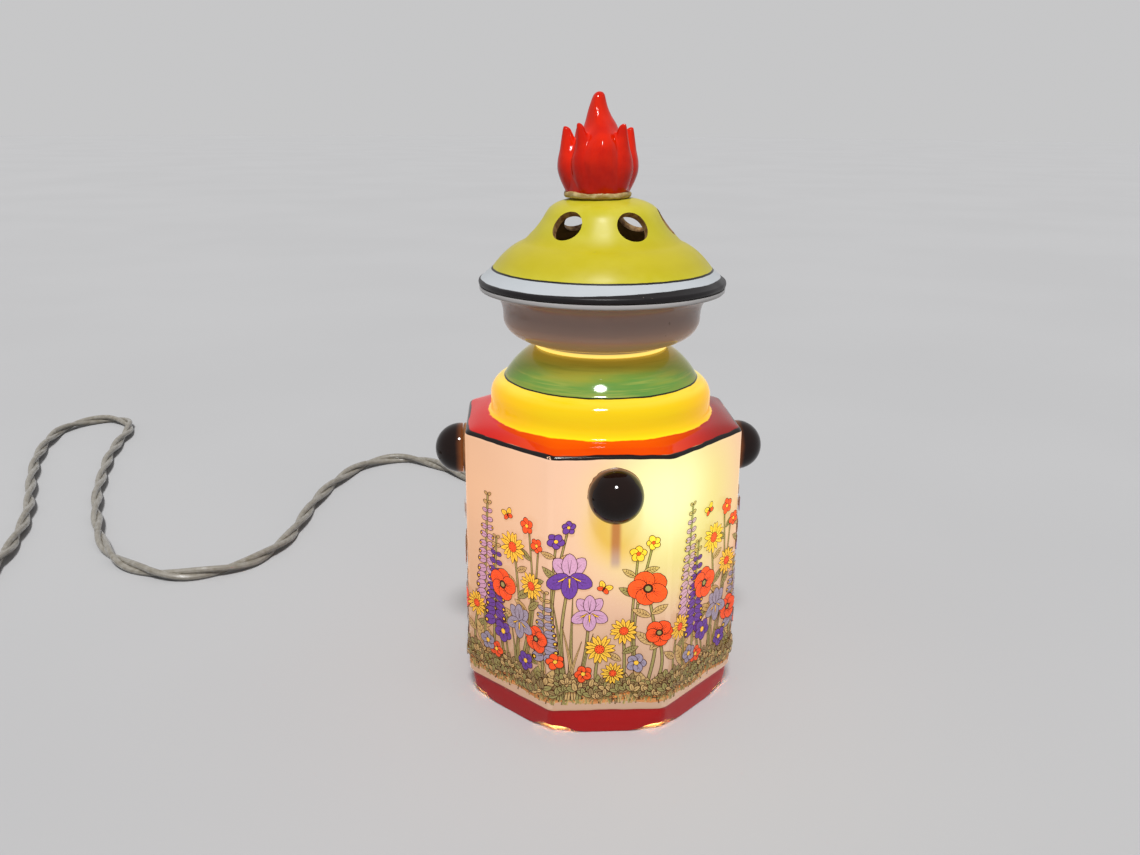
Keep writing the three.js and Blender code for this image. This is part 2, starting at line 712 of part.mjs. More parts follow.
function springBow() {
    const line = bowLine().filter((p, i, all) => i === 0 || p.distanceTo(all[i - 1]) > 1e-6);
    const outline = new THREE.Shape([...line, ...inset(line, -BOW_THICKNESS).reverse()]);
    const strip = new THREE.ExtrudeGeometry(outline, { depth: BOW_WIDTH, bevelEnabled: false });
    strip.translate(0, 0, -BOW_WIDTH / 2);
    strip.rotateX(Math.PI / 2);
    strip.rotateZ(Math.PI / 2);
    const eyeRadius = NIPPLE_RADIUS + SEAT_GAP;
    const eye = annulus(eyeRadius, eyeRadius + BOW_WIDTH / 2, BOW_BAR_HEIGHT - BOW_THICKNESS, BOW_BAR_HEIGHT,
        SMALL_SEGMENTS);
    const hole = new THREE.CylinderGeometry(eyeRadius, eyeRadius, 4 * BOW_THICKNESS, SMALL_SEGMENTS);
    hole.rotateX(Math.PI / 2).translate(0, 0, BOW_BAR_HEIGHT);
    return join([cut(strip, [hole]), eye]);
}

// Lampholder on its threaded nipple

function nipple() {
    const low = BOW_BAR_HEIGHT - BOW_THICKNESS - NIPPLE_BELOW_BOW;
    return annulus(LEAD_DIAMETER / 2 + SEAT_GAP, NIPPLE_RADIUS, low, BOW_BAR_HEIGHT + NIPPLE_ABOVE_BOW,
        SMALL_SEGMENTS);
}

function hexNut() {
    const outline = polygonShape(NUT_ACROSS_FLATS / 2 / Math.cos(Math.PI / 6), 6);
    const bore = new THREE.Path();
    bore.absarc(0, 0, NIPPLE_RADIUS + SEAT_GAP, 0, 2 * Math.PI, true);
    outline.holes.push(bore);
    const settings = { depth: NUT_HEIGHT, bevelEnabled: false, curveSegments: 10 };
    const nut = new THREE.ExtrudeGeometry(outline, settings);
    return closed(nut.translate(0, 0, BOW_BAR_HEIGHT - BOW_THICKNESS - SEAT_GAP - NUT_HEIGHT));
}

function holderBase() {
    const bore = NIPPLE_RADIUS + SEAT_GAP;
    const boreTop = BOW_BAR_HEIGHT + NIPPLE_ABOVE_BOW + SEAT_GAP;
    const neck = HOLDER_RADIUS - HOLDER_WALL - SEAT_GAP;
    const lap = HOLDER_TOP_Z - HOLDER_LAP;
    const corners = [
        [0, boreTop], [bore, boreTop], [bore, HOLDER_Z], [HOLDER_RADIUS - 1, HOLDER_Z],
        [HOLDER_RADIUS, HOLDER_Z + 1], [HOLDER_RADIUS, lap], [neck, lap], [neck, HOLDER_TOP_Z],
        [0, HOLDER_TOP_Z],
    ];
    return revolve(profileOf(corners), SMALL_SEGMENTS);
}

const THREAD_RADIUS = CAP_RADIUS + CAP_PLAY + THREAD_WALL;
const THREAD_Z = HOLDER_TOP_Z + 2 * SEAT_GAP + HOLDER_WALL;
const HOLDER_MOUTH_Z = HOLDER_TOP_Z - HOLDER_LAP + SEAT_GAP + HOLDER_SHELL_HEIGHT;

function holderShell() {
    const low = HOLDER_TOP_Z - HOLDER_LAP + SEAT_GAP;
    const wide = HOLDER_RADIUS - HOLDER_WALL;
    const bore = THREAD_RADIUS + SEAT_GAP;
    const step = HOLDER_TOP_Z + SEAT_GAP;
    const corners = [
        [wide, low], [HOLDER_RADIUS, low], [HOLDER_RADIUS - 0.8, HOLDER_MOUTH_Z - HOLDER_LIP],
        [HOLDER_RADIUS - 0.2, HOLDER_MOUTH_Z - HOLDER_LIP + 0.8], [HOLDER_RADIUS - 0.4, HOLDER_MOUTH_Z - 0.6],
        [HOLDER_RADIUS - 1, HOLDER_MOUTH_Z], [bore + 0.6, HOLDER_MOUTH_Z], [bore, HOLDER_MOUTH_Z - 0.6],
        [bore, step + 2 * HOLDER_WALL], [wide, step + HOLDER_WALL], [wide, low],
    ];
    return revolve(profileOf(corners), SMALL_SEGMENTS);
}

function holderThread() {
    const inner = THREAD_RADIUS - THREAD_WALL;
    return annulus(inner, THREAD_RADIUS, THREAD_Z, THREAD_Z + THREAD_HEIGHT, SMALL_SEGMENTS);
}

function holderContact() {
    const corners = [
        [0, CONTACT_Z], [CONTACT_RADIUS, CONTACT_Z], [CONTACT_RADIUS, CONTACT_Z + 0.6],
        [CONTACT_RADIUS / 2, CONTACT_Z + 1], [CONTACT_RADIUS / 2, CONTACT_Z + CONTACT_HEIGHT],
        [0, CONTACT_Z + CONTACT_HEIGHT],
    ];
    return revolve(profileOf(corners), TINY_SEGMENTS);
}

// Bulb

function bulbTip() {
    const top = TIP_Z + TIP_HEIGHT;
    const corners = [
        [0, TIP_Z], [TIP_RADIUS * 0.6, TIP_Z], [TIP_RADIUS, top - TIP_HEIGHT / 3], [TIP_RADIUS, top],
        [0, top],
    ];
    return revolve(profileOf(corners), TINY_SEGMENTS);
}

function bulbInsulator() {
    const top = INSULATOR_Z + INSULATOR_HEIGHT;
    const seat = CAP_RADIUS - CAP_WALL - SEAT_GAP;
    const corners = [[0, INSULATOR_Z], [TIP_RADIUS + 1, INSULATOR_Z], [seat, CAP_Z], [seat, top], [0, top]];
    return revolve(profileOf(corners), SMALL_SEGMENTS);
}

function bulbCap() {
    return annulus(CAP_RADIUS - CAP_WALL, CAP_RADIUS, CAP_Z, CAP_TOP_Z, SMALL_SEGMENTS);
}

function bulbGlass() {
    const neck = CAP_RADIUS - CAP_WALL - SEAT_GAP;
    const top = TIP_Z + BULB_LENGTH;
    const centre = top - BULB_RADIUS;
    const path = new THREE.Path();
    path.moveTo(neck, GLASS_Z);
    path.lineTo(neck, CAP_TOP_Z + 1);
    path.bezierCurveTo(
        neck, CAP_TOP_Z + 0.46 * GLASS_SHOULDER,
        BULB_RADIUS, CAP_TOP_Z + 0.38 * GLASS_SHOULDER,
        BULB_RADIUS, CAP_TOP_Z + GLASS_SHOULDER,
    );
    path.lineTo(BULB_RADIUS, centre);
    path.absarc(0, centre, BULB_RADIUS, 0, Math.PI / 2, false);
    const outside = path.getPoints(CURVE_STEPS);
    const inside = coarse(inset(outside, GLASS_WALL)).filter((p) => p.x > GLASS_WALL);
    outside[outside.length - 1].x = 0;
    return revolve([...outside, point2(0, top - GLASS_WALL), ...inside.reverse(), outside[0].clone()],
        SMALL_SEGMENTS);
}

const STEM_Z = GLASS_Z + 0.4;

function bulbStem() {
    const flare = CAP_RADIUS - CAP_WALL - GLASS_WALL - 2 * SEAT_GAP;
    const top = STEM_Z + STEM_HEIGHT;
    const path = new THREE.Path();
    path.moveTo(0, STEM_Z);
    path.lineTo(flare, STEM_Z);
    path.quadraticCurveTo(STEM_RADIUS, STEM_Z + 1, STEM_RADIUS, STEM_Z + STEM_HEIGHT / 2);
    path.lineTo(STEM_RADIUS, top);
    path.lineTo(0, top);
    return revolve(path.getPoints(CURVE_STEPS), TINY_SEGMENTS);
}

// Lead wires up from the stem's top and the filament across them, drawn as one wire
function filament() {
    const foot = STEM_Z + STEM_HEIGHT + SEAT_GAP;
    const near = STEM_RADIUS - FILAMENT_WIRE;
    const half = FILAMENT_SPAN / 2;
    const points = [
        [-near, foot], [-near, foot + 1],
        [-half * 0.7, foot + FILAMENT_RISE * 0.6], [-half, foot + FILAMENT_RISE],
        [-half * 0.6, foot + FILAMENT_RISE + 1.5], [0, foot + FILAMENT_RISE + 0.8],
        [half * 0.6, foot + FILAMENT_RISE + 1.5], [half, foot + FILAMENT_RISE],
        [half * 0.7, foot + FILAMENT_RISE * 0.6], [near, foot + 1], [near, foot],
    ].map(([x, z]) => new THREE.Vector3(x, 0, z));
    return tube(new THREE.CatmullRomCurve3(points), FILAMENT_WIRE / 2, 4, 24);
}

// Lead: bush, inner stretch, run over the table and coil

const LEAD_RADIUS = LEAD_DIAMETER / 2;
const BUSH_ROOT_Y = WALL_APOTHEM + SEAT_GAP;
const BUSH_END_Y = BUSH_ROOT_Y + BUSH_FLANGE_THICKNESS + BUSH_LENGTH;
const LEAD_JOIN_Y = WALL_APOTHEM + INNER_LEAD_REACH;

// The bush's neck goes through the wall, and a small lip holds it inside
function cordBush() {
    const bore = LEAD_RADIUS + SEAT_GAP;
    const neck = bore + BUSH_NECK_WALL;
    const flangeTop = BUSH_ROOT_Y + BUSH_FLANGE_THICKNESS;
    const inner = WALL_APOTHEM - WALL_THICKNESS - WALL_TAPER - SEAT_GAP;
    const corners = [
        [bore, inner - 1.4], [neck, inner - 1.4], [neck + 1, inner - 0.8], [neck + 1, inner], [neck, inner],
        [neck, BUSH_ROOT_Y], [neck + BUSH_FLANGE, BUSH_ROOT_Y], [neck + BUSH_FLANGE, flangeTop],
        [bore + BUSH_ROOT_WALL, flangeTop + 1], [bore + BUSH_END_WALL, BUSH_END_Y], [bore, BUSH_END_Y],
        [bore, inner - 1.4],
    ];
    const bush = revolve(profileOf(corners), BALL_SEGMENTS);
    return bush.rotateX(-Math.PI / 2).translate(HOLE_X, 0, HOLE_HEIGHT);
}

function innerLead() {
    const nippleLow = BOW_BAR_HEIGHT - BOW_THICKNESS - NIPPLE_BELOW_BOW;
    const points = [
        [HOLE_X, LEAD_JOIN_Y, HOLE_HEIGHT], [HOLE_X, WALL_APOTHEM, HOLE_HEIGHT],
        [HOLE_X, WALL_APOTHEM - 2 * WALL_THICKNESS, HOLE_HEIGHT],
        [HOLE_X, WALL_APOTHEM - 3 * WALL_THICKNESS, HOLE_HEIGHT],
        [HOLE_X * 0.75, WALL_APOTHEM * 0.58, HOLE_HEIGHT * 0.6],
        [HOLE_X * 0.25, LEAD_BEND + 4, nippleLow - LEAD_BEND],
        [0, LEAD_BEND * 0.36, nippleLow - LEAD_BEND * 0.68],
        [0, 0, nippleLow - 1.5], [0, 0, nippleLow + 4], [0, 0, BOW_BAR_HEIGHT + NIPPLE_ABOVE_BOW - 1],
    ].map(([x, y, z]) => new THREE.Vector3(x, y, z));
    return tube(new THREE.CatmullRomCurve3(points, false, 'centripetal'), LEAD_RADIUS, LEAD_SIDES, 24);
}

// Out of the bush, down to the table, over it, and up a little to the coil
function leadRun() {
    const rest = LEAD_RADIUS + LEAD_REST;
    const drop = HOLE_HEIGHT - rest;
    const coilX = COIL_X + COIL_START_RADIUS;
    const coilY = COIL_Y + LEAD_STRAIGHT;
    const coilZ = COIL_FLOOR + LEAD_RADIUS;
    const climb = coilZ - rest;
    const points = [
        [HOLE_X, LEAD_JOIN_Y + SEAT_GAP, HOLE_HEIGHT],
        [HOLE_X, BUSH_END_Y, HOLE_HEIGHT],
        ...LEAD_FALL.map(([aside, past, share]) => [HOLE_X - aside, BUSH_END_Y + past, rest + share * drop]),
        ...LEAD_ROUTE.map(([x, y]) => [x, y, rest]),
        ...LEAD_CLIMB.map(([aside, past, share]) => [coilX - aside, coilY + past, rest + share * climb]),
        [coilX, coilY + SEAT_GAP, coilZ],
    ];
    const curve = new THREE.CatmullRomCurve3(points.map(([x, y, z]) => new THREE.Vector3(x, y, z)));
    const steps = Math.round(curve.getLength() / LEAD_STEP);
    return { curve, geometry: tube(curve, LEAD_RADIUS, LEAD_SIDES, steps) };
}

// The coil's line: in straight, round in a spiral, up a layer while the spiral turns back, round and
// out again, and straight on to the plug
class CoilCurve extends THREE.Curve {
    constructor() {
        super();
        this.turns = COIL_TURNS_IN + 0.5 + COIL_TURNS_OUT;
        this.lowZ = COIL_FLOOR + LEAD_RADIUS;
        this.first = this.place(0);
        this.last = this.place(this.turns);
        this.lead = LEAD_STRAIGHT;
        this.round = this.turns * 2 * Math.PI * (COIL_START_RADIUS - COIL_PITCH * COIL_TURNS_IN / 2);
        this.total = this.lead + this.round + TAIL_LENGTH;
    }

    // Radius and height after so many turns
    radiusAt(turn) {
        const back = turn - COIL_TURNS_IN;
        const tight = COIL_START_RADIUS - COIL_PITCH * COIL_TURNS_IN;
        if (back <= 0) {
            return COIL_START_RADIUS - COIL_PITCH * turn;
        }
        if (back < 0.5) {
            return tight - COIL_PITCH * back + 2 * COIL_PITCH * back ** 2;
        }
        return tight + COIL_PITCH * (back - 0.5);
    }

    heightAt(turn) {
        const climbed = THREE.MathUtils.smoothstep(turn, COIL_TURNS_IN, COIL_TURNS_IN + 0.5);
        return this.lowZ + COIL_PITCH * climbed;
    }

    place(turn) {
        const angle = -2 * Math.PI * turn;
        const radius = this.radiusAt(turn);
        return new THREE.Vector3(
            COIL_X + radius * Math.cos(angle),
            COIL_Y + radius * Math.sin(angle),
            this.heightAt(turn),
        );
    }

    // Unit direction of travel at the start or the end of the turns
    heading(turn) {
        const angle = -2 * Math.PI * turn;
        return new THREE.Vector3(Math.sin(angle), -Math.cos(angle), 0);
    }

    getPoint(t) {
        const along = t * this.total;
        if (along < this.lead) {
            return this.first.clone().addScaledVector(this.heading(0), along - this.lead);
        }
        if (along <= this.lead + this.round) {
            return this.place(((along - this.lead) / this.round) * this.turns);
        }
        const past = along - this.lead - this.round;
        const tail = this.last.clone().addScaledVector(this.heading(this.turns), past);
        const plugZ = PLUG_THICKNESS / 2;
        tail.z += (plugZ - tail.z) * THREE.MathUtils.smoothstep(past, 0, TAIL_LENGTH - LEAD_STRAIGHT);
        return tail;
    }
}

// The least distance between stretches of a line that are well apart along it, less its diameter
function leastGap(curve, diameter) {
    const points = curve.getSpacedPoints(Math.ceil(curve.getLength()));
    const apart = Math.ceil(4 * diameter);
    let least = Infinity;
    for (let i = 0; i < points.length; i++) {
        for (let j = i + apart; j < points.length; j++) {
            least = Math.min(least, points[i].distanceTo(points[j]));
        }
    }
    return least - diameter;
}

function leadCoil() {
    const curve = new CoilCurve();
    const steps = Math.round((curve.turns + 0.3) * COIL_STEPS_PER_TURN);
    return { curve, geometry: tube(curve, LEAD_RADIUS, COIL_SIDES, steps) };
}

// A band round the bundle of turns at one place
function coilTie(curve) {
    const angle = radians(TIE_ANGLE);
    const centre = new THREE.Vector3(COIL_X, COIL_Y, 0);
    const across = curve.getSpacedPoints(1500)
        .map((p) => p.clone().sub(centre))
        .filter((p) => Math.abs(Math.atan2(p.y, p.x) - angle) < radians(8))
        .map((p) => Math.hypot(p.x, p.y));
    const near = Math.min(...across) - LEAD_RADIUS - TIE_PLAY;
    const far = Math.max(...across) + LEAD_RADIUS + TIE_PLAY;
    const low = TIE_THICKNESS;
    const high = curve.lowZ + COIL_PITCH + LEAD_RADIUS + TIE_PLAY;
    const [inner, outer] = [near - TIE_THICKNESS, far + TIE_THICKNESS];
    const outline = roundedBox(inner, 0, outer, high + TIE_THICKNESS, LEAD_RADIUS + TIE_THICKNESS);
    const opening = roundedBox(near, low, far, high, LEAD_RADIUS);
    const shape = new THREE.Shape(outline);
    shape.holes.push(new THREE.Path(opening));
    const band = new THREE.ExtrudeGeometry(shape, { depth: TIE_WIDTH, bevelEnabled: false });
    band.translate(0, 0, -TIE_WIDTH / 2).rotateX(Math.PI / 2).rotateZ(angle);
    return closed(band.translate(COIL_X, COIL_Y, 0));
}

// Corner points of a box with round corners, anticlockwise
function roundedBox(x0, y0, x1, y1, radius) {
    const path = new THREE.Path();
    path.absarc(x1 - radius, y0 + radius, radius, -Math.PI / 2, 0, false);
    path.absarc(x1 - radius, y1 - radius, radius, 0, Math.PI / 2, false);
    path.absarc(x0 + radius, y1 - radius, radius, Math.PI / 2, Math.PI, false);
    path.absarc(x0 + radius, y0 + radius, radius, Math.PI, 1.5 * Math.PI, false);
    return path.getPoints(2);
}

// Plug, made along +Y from the end of the lead, and lying flat

function plugBoot() {
    const corners = [[0, 0], [BOOT_END_RADIUS, 0], [BOOT_ROOT_RADIUS, BOOT_LENGTH], [0, BOOT_LENGTH]];
    return revolve(profileOf(corners), TINY_SEGMENTS).rotateX(-Math.PI / 2);
}

// The plug's outline seen from above, less the rounding of its edges
function plugOutline(back, face) {
    const half = PLUG_WIDTH / 2 - PLUG_EDGE;
    const neck = PLUG_NECK_WIDTH / 2 - PLUG_EDGE;
    const widest = back + 0.55 * PLUG_LENGTH;
    const waist = [0.36 * PLUG_WIDTH, back + 0.25 * PLUG_LENGTH];
    const outline = new THREE.Shape();
    outline.moveTo(-neck, back + PLUG_EDGE);
    outline.lineTo(neck, back + PLUG_EDGE);
    outline.quadraticCurveTo(waist[0], waist[1], half, widest);
    outline.lineTo(half, face - PLUG_EDGE - PLUG_CHAMFER);
    outline.lineTo(half - PLUG_CHAMFER, face - PLUG_EDGE);
    outline.lineTo(-half + PLUG_CHAMFER, face - PLUG_EDGE);
    outline.lineTo(-half, face - PLUG_EDGE - PLUG_CHAMFER);
    outline.lineTo(-half, widest);
    outline.quadraticCurveTo(-waist[0], waist[1], -neck, back + PLUG_EDGE);
    return outline;
}

function plugBody() {
    const back = BOOT_LENGTH + SEAT_GAP;
    const face = back + PLUG_LENGTH;
    const outline = plugOutline(back, face);
    const body = new THREE.ExtrudeGeometry(outline, {
        depth: PLUG_THICKNESS - 2 * PLUG_EDGE,
        bevelThickness: PLUG_EDGE,
        bevelSize: PLUG_EDGE,
        bevelSegments: 2,
        curveSegments: 4,
    });
    body.translate(0, 0, -PLUG_THICKNESS / 2 + PLUG_EDGE);
    const sockets = [-1, 1].map((side) => {
        const radius = PIN_RADIUS + SEAT_GAP;
        const socket = new THREE.CylinderGeometry(radius, radius, 2 * PIN_SOCKET, TINY_SEGMENTS);
        return socket.translate(side * PIN_SPACING / 2, face, 0);
    });
    return cut(body, sockets);
}

function plugPin(side) {
    const foot = BOOT_LENGTH + SEAT_GAP + PLUG_LENGTH - PIN_SOCKET + SEAT_GAP;
    const top = foot + PIN_SOCKET - SEAT_GAP + PIN_LENGTH;
    const corners = [[0, foot], [PIN_RADIUS, foot], [PIN_RADIUS, top - 1], [PIN_RADIUS - 0.7, top], [0, top]];
    const pin = revolve(profileOf(corners), TINY_SEGMENTS).rotateX(-Math.PI / 2);
    return pin.translate(side * PIN_SPACING / 2, 0, 0);
}

// The whole lamp

const FINISH = {
    whitePorcelain: { color: 0xf1e6d6, roughness: 0.18, metalness: 0 },
    yellowGlaze: { color: 0xd8c62e, roughness: 0.22, metalness: 0 },
    redGlaze: { color: 0xc81a08, roughness: 0.12, metalness: 0 },
    darkBall: { color: 0x120806, roughness: 0.06, metalness: 0 },
    brownCement: { color: 0x5a3016, roughness: 0.5, metalness: 0 },
    beigeCement: { color: 0xc9b07a, roughness: 0.7, metalness: 0 },
    springSteel: { color: 0x9a9a98, roughness: 0.35, metalness: 1 },
    brass: { color: 0xc29a4b, roughness: 0.3, metalness: 1 },
    bakelite: { color: 0x1c1512, roughness: 0.4, metalness: 0 },
    nickel: { color: 0xb9b6ae, roughness: 0.25, metalness: 1 },
    blackGlass: { color: 0x0c0c0e, roughness: 0.1, metalness: 0 },
    solder: { color: 0x8f9092, roughness: 0.4, metalness: 1 },
    clearGlass: { color: 0xfff3df, roughness: 0.05, metalness: 0 },
    tungsten: { color: 0xffb35a, roughness: 0.5, metalness: 1 },
    clearLead: { color: 0xa59f92, roughness: 0.35, metalness: 0 },
    ivoryPlastic: { color: 0xd9d0bd, roughness: 0.4, metalness: 0 },
};

function piece(name, geometry, finish) {
    const mesh = new THREE.Mesh(geometry, new THREE.MeshStandardMaterial(FINISH[finish]));
    mesh.name = name;
    return mesh;
}

function porcelain() {
    const group = new THREE.Group();
    group.add(piece('body_shell', bodyShell(), 'whitePorcelain'));
    group.add(piece('oil_dish', oilDish(), 'whitePorcelain'));
    group.add(piece('pierced_lid', piercedLid(), 'yellowGlaze'));
    group.add(piece('finial_cement', cementDisc(), 'beigeCement'));
    group.add(piece('flame_finial', flame(), 'redGlaze'));
    return group;
}

function knobs() {
    const group = new THREE.Group();
    const sides = [
        { name: 'front', degrees: -90, aside: FRONT_KNOB_SHIFT },
        { name: 'right', degrees: 0, aside: 0 },
        { name: 'rear', degrees: 90, aside: 0 },
        { name: 'left', degrees: 180, aside: 0 },
    ];
    for (const { name, degrees, aside } of sides) {
        const ball = piece(`knob_${name}`, knobBall(), 'darkBall');
        const pad = piece(`knob_cement_${name}`, cementPad(), 'brownCement');
        group.add(setOnWall(ball, degrees, WALL_APOTHEM + KNOB_STAND_OFF, aside));
        group.add(setOnWall(pad, degrees, WALL_APOTHEM + SEAT_GAP, aside));
    }
    return group;
}

function lampholder() {
    const group = new THREE.Group();
    group.add(piece('spring_bow', springBow(), 'springSteel'));
    group.add(piece('holder_nipple', nipple(), 'brass'));
    group.add(piece('holder_nut', hexNut(), 'brass'));
    group.add(piece('holder_base', holderBase(), 'bakelite'));
    group.add(piece('holder_shell', holderShell(), 'bakelite'));
    group.add(piece('holder_thread', holderThread(), 'brass'));
    group.add(piece('holder_contact', holderContact(), 'brass'));
    return group;
}

function bulb() {
    const group = new THREE.Group();
    group.add(piece('bulb_tip', bulbTip(), 'solder'));
    group.add(piece('bulb_insulator', bulbInsulator(), 'blackGlass'));
    group.add(piece('bulb_cap', bulbCap(), 'nickel'));
    group.add(piece('bulb_glass', bulbGlass(), 'clearGlass'));
    group.add(piece('bulb_stem', bulbStem(), 'clearGlass'));
    group.add(piece('bulb_filament', filament(), 'tungsten'));
    return group;
}

function plug(end, heading) {
    const group = new THREE.Group();
    group.add(piece('plug_boot', plugBoot(), 'ivoryPlastic'));
    group.add(piece('plug_body', plugBody(), 'ivoryPlastic'));
    group.add(piece('plug_pin_left', plugPin(-1), 'nickel'));
    group.add(piece('plug_pin_right', plugPin(1), 'nickel'));
    group.position.copy(end).addScaledVector(heading, SEAT_GAP);
    group.rotation.z = Math.atan2(heading.y, heading.x) - Math.PI / 2;
    return group;
}

function lead() {
    const group = new THREE.Group();
    const run = leadRun();
    const coil = leadCoil();
    group.add(piece('cord_bush', cordBush(), 'bakelite'));
    group.add(piece('inner_lead', innerLead(), 'clearLead'));
    group.add(piece('cord_run', run.geometry, 'clearLead'));
    group.add(piece('cord_coil', coil.geometry, 'clearLead'));
    group.add(piece('coil_tie', coilTie(coil.curve), 'bakelite'));
    group.add(plug(coil.curve.getPoint(1), coil.curve.heading(coil.curve.turns)));
    const lengths = [run.curve.getLength(), coil.curve.getLength()];
    console.log(`run ${lengths[0].toFixed(1)} mm, coil and tail ${lengths[1].toFixed(1)} mm`);
    console.log(`least gap of the coil to itself ${leastGap(coil.curve, LEAD_DIAMETER).toFixed(2)} mm`);
    return group;
}

const lamp = new THREE.Group();
lamp.add(porcelain(), knobs(), lampholder(), bulb(), lead());

export default lamp;
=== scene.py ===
"""Looks of the porcelain aroma lamp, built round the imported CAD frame.

Shapes are worked out in millimetres and set down in metres. The tower's front wall faces -Y.
"""

import logging
import math
import random
from dataclasses import dataclass, field
from enum import Enum
from typing import Callable, Sequence, Union

import bmesh
import bpy
from mathutils import Matrix, Vector, noise


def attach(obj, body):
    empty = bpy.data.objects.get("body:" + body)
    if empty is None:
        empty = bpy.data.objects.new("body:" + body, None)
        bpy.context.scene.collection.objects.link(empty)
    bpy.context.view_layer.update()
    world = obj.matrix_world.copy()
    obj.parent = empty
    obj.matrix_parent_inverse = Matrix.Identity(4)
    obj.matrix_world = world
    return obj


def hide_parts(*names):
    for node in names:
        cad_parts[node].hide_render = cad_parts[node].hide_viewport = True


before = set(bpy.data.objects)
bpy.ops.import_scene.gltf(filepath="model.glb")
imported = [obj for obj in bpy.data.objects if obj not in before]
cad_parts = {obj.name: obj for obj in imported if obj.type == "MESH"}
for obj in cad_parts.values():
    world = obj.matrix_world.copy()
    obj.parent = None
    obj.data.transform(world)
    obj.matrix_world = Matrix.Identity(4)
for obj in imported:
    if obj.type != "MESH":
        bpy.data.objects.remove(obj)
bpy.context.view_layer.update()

log = logging.getLogger("aroma_lamp")

MM = 0.001
Point = tuple[float, float]
Colour = tuple[float, float, float]
Piece = bpy.types.Object
Input = Union["Value", float, tuple]

# Tower
SIDES = 8
SECTOR = 360 / SIDES
WALL = 49.8
WALL_TOP = 49.6
WALL_THICKNESS = 3.6
FACE = 2 * WALL * math.tan(math.radians(SECTOR / 2))
CORNER = 5.0
CORNER_STRIPS = 3
WALL_FLAT = (WALL - CORNER) * math.tan(math.radians(SECTOR / 2))
FOOT_TOP = 8.6
WALL_FOOT = 11.0
EDGE_Z = 105.6
COLLAR_Z = 108.0
COLLAR_R = 40.5
DOME_Z = 121.0
NECK_Z = 132.0
NECK_R = 24.4
MOUTH_R = 20.6
SLOT_HEIGHT = 3.0
SLOT_RADIUS = 14.35
# Knobs
KNOB_R = 9.3
KNOB_Z = 92.7
KNOB_OUT = 2.5
KNOB_FLAT = 1.0
KNOB_SIDES = (("front", -90, 1.3), ("right", 0, 0.0), ("rear", 90, 0.0), ("left", 180, 0.0))
# Dish, lid and flame
DISH_Z = 132.3
DISH_R = 35.6
BELLY_Z = 143.0
RIM_Z = 154.4
RIM_R = 44.0
RIM_EDGE = 1.7
LID_Z = 154.7
BAND_Z = 156.6
BRIM_Z = 160.1
BRIM_R = 39.6
WAIST_Z = 169.5
WAIST_R = 28.4
CROWN_Z = 178.6
CROWN_R = 20.9
LID_TOP_Z = 184.5
LID_TURN = -8.0
VENTS = 6
VENT_R = 5.6
VENT_PLACE = 0.85
FLAME_Z = 186.5
FLAME_HEIGHT = 33.4
FLAME_SHIFT = -2.0
# Lead
STRAND_R = 1.55
STRAND_OFFSET = 1.45
TWIST_PITCH = 64.0
HOLE_X = -14.0
HOLE_Z = 14.0
HOLE_R = 4.6
LEAD_JOIN_Y = 60.1
BUSH_END_Y = 75.7
REST_Z = 3.1
COIL_X = -320.0
COIL_Y = 55.0
COIL_R = 39.0
COIL_PITCH = 6.6
COIL_LOW_Z = 4.4
TAIL = 46.0
PLUG_Z = 6.85
PIN_ASIDE = 9.3
PIN_R = 2.0
ROUTE = [
    (-22, 151), (-35, 178), (-54, 201), (-73, 225), (-96, 244), (-111, 245), (-123, 238),
    (-131, 226), (-137, 211), (-144, 182), (-147, 152), (-150, 122), (-162, 95), (-188, 82),
    (-216, 91), (-237, 113), (-251, 139), (-263, 167), (-273, 195), (-281, 223), (-289, 254),
    (-294, 283), (-297, 309), (-303, 327), (-319, 338), (-336, 330), (-343, 312), (-341, 286),
    (-334, 256), (-324, 227), (-312, 197), (-300, 168), (-291, 139),
]
# Turns the axis of a lathed piece from +Z to +Y
ALONG_Y = Matrix.Rotation(-math.pi / 2, 4, "X")


class Body(Enum):
    """The CAD bodies that pieces ride on."""

    TOWER = "tower"
    DISH = "dish"
    LID = "lid"
    BULB = "bulb"


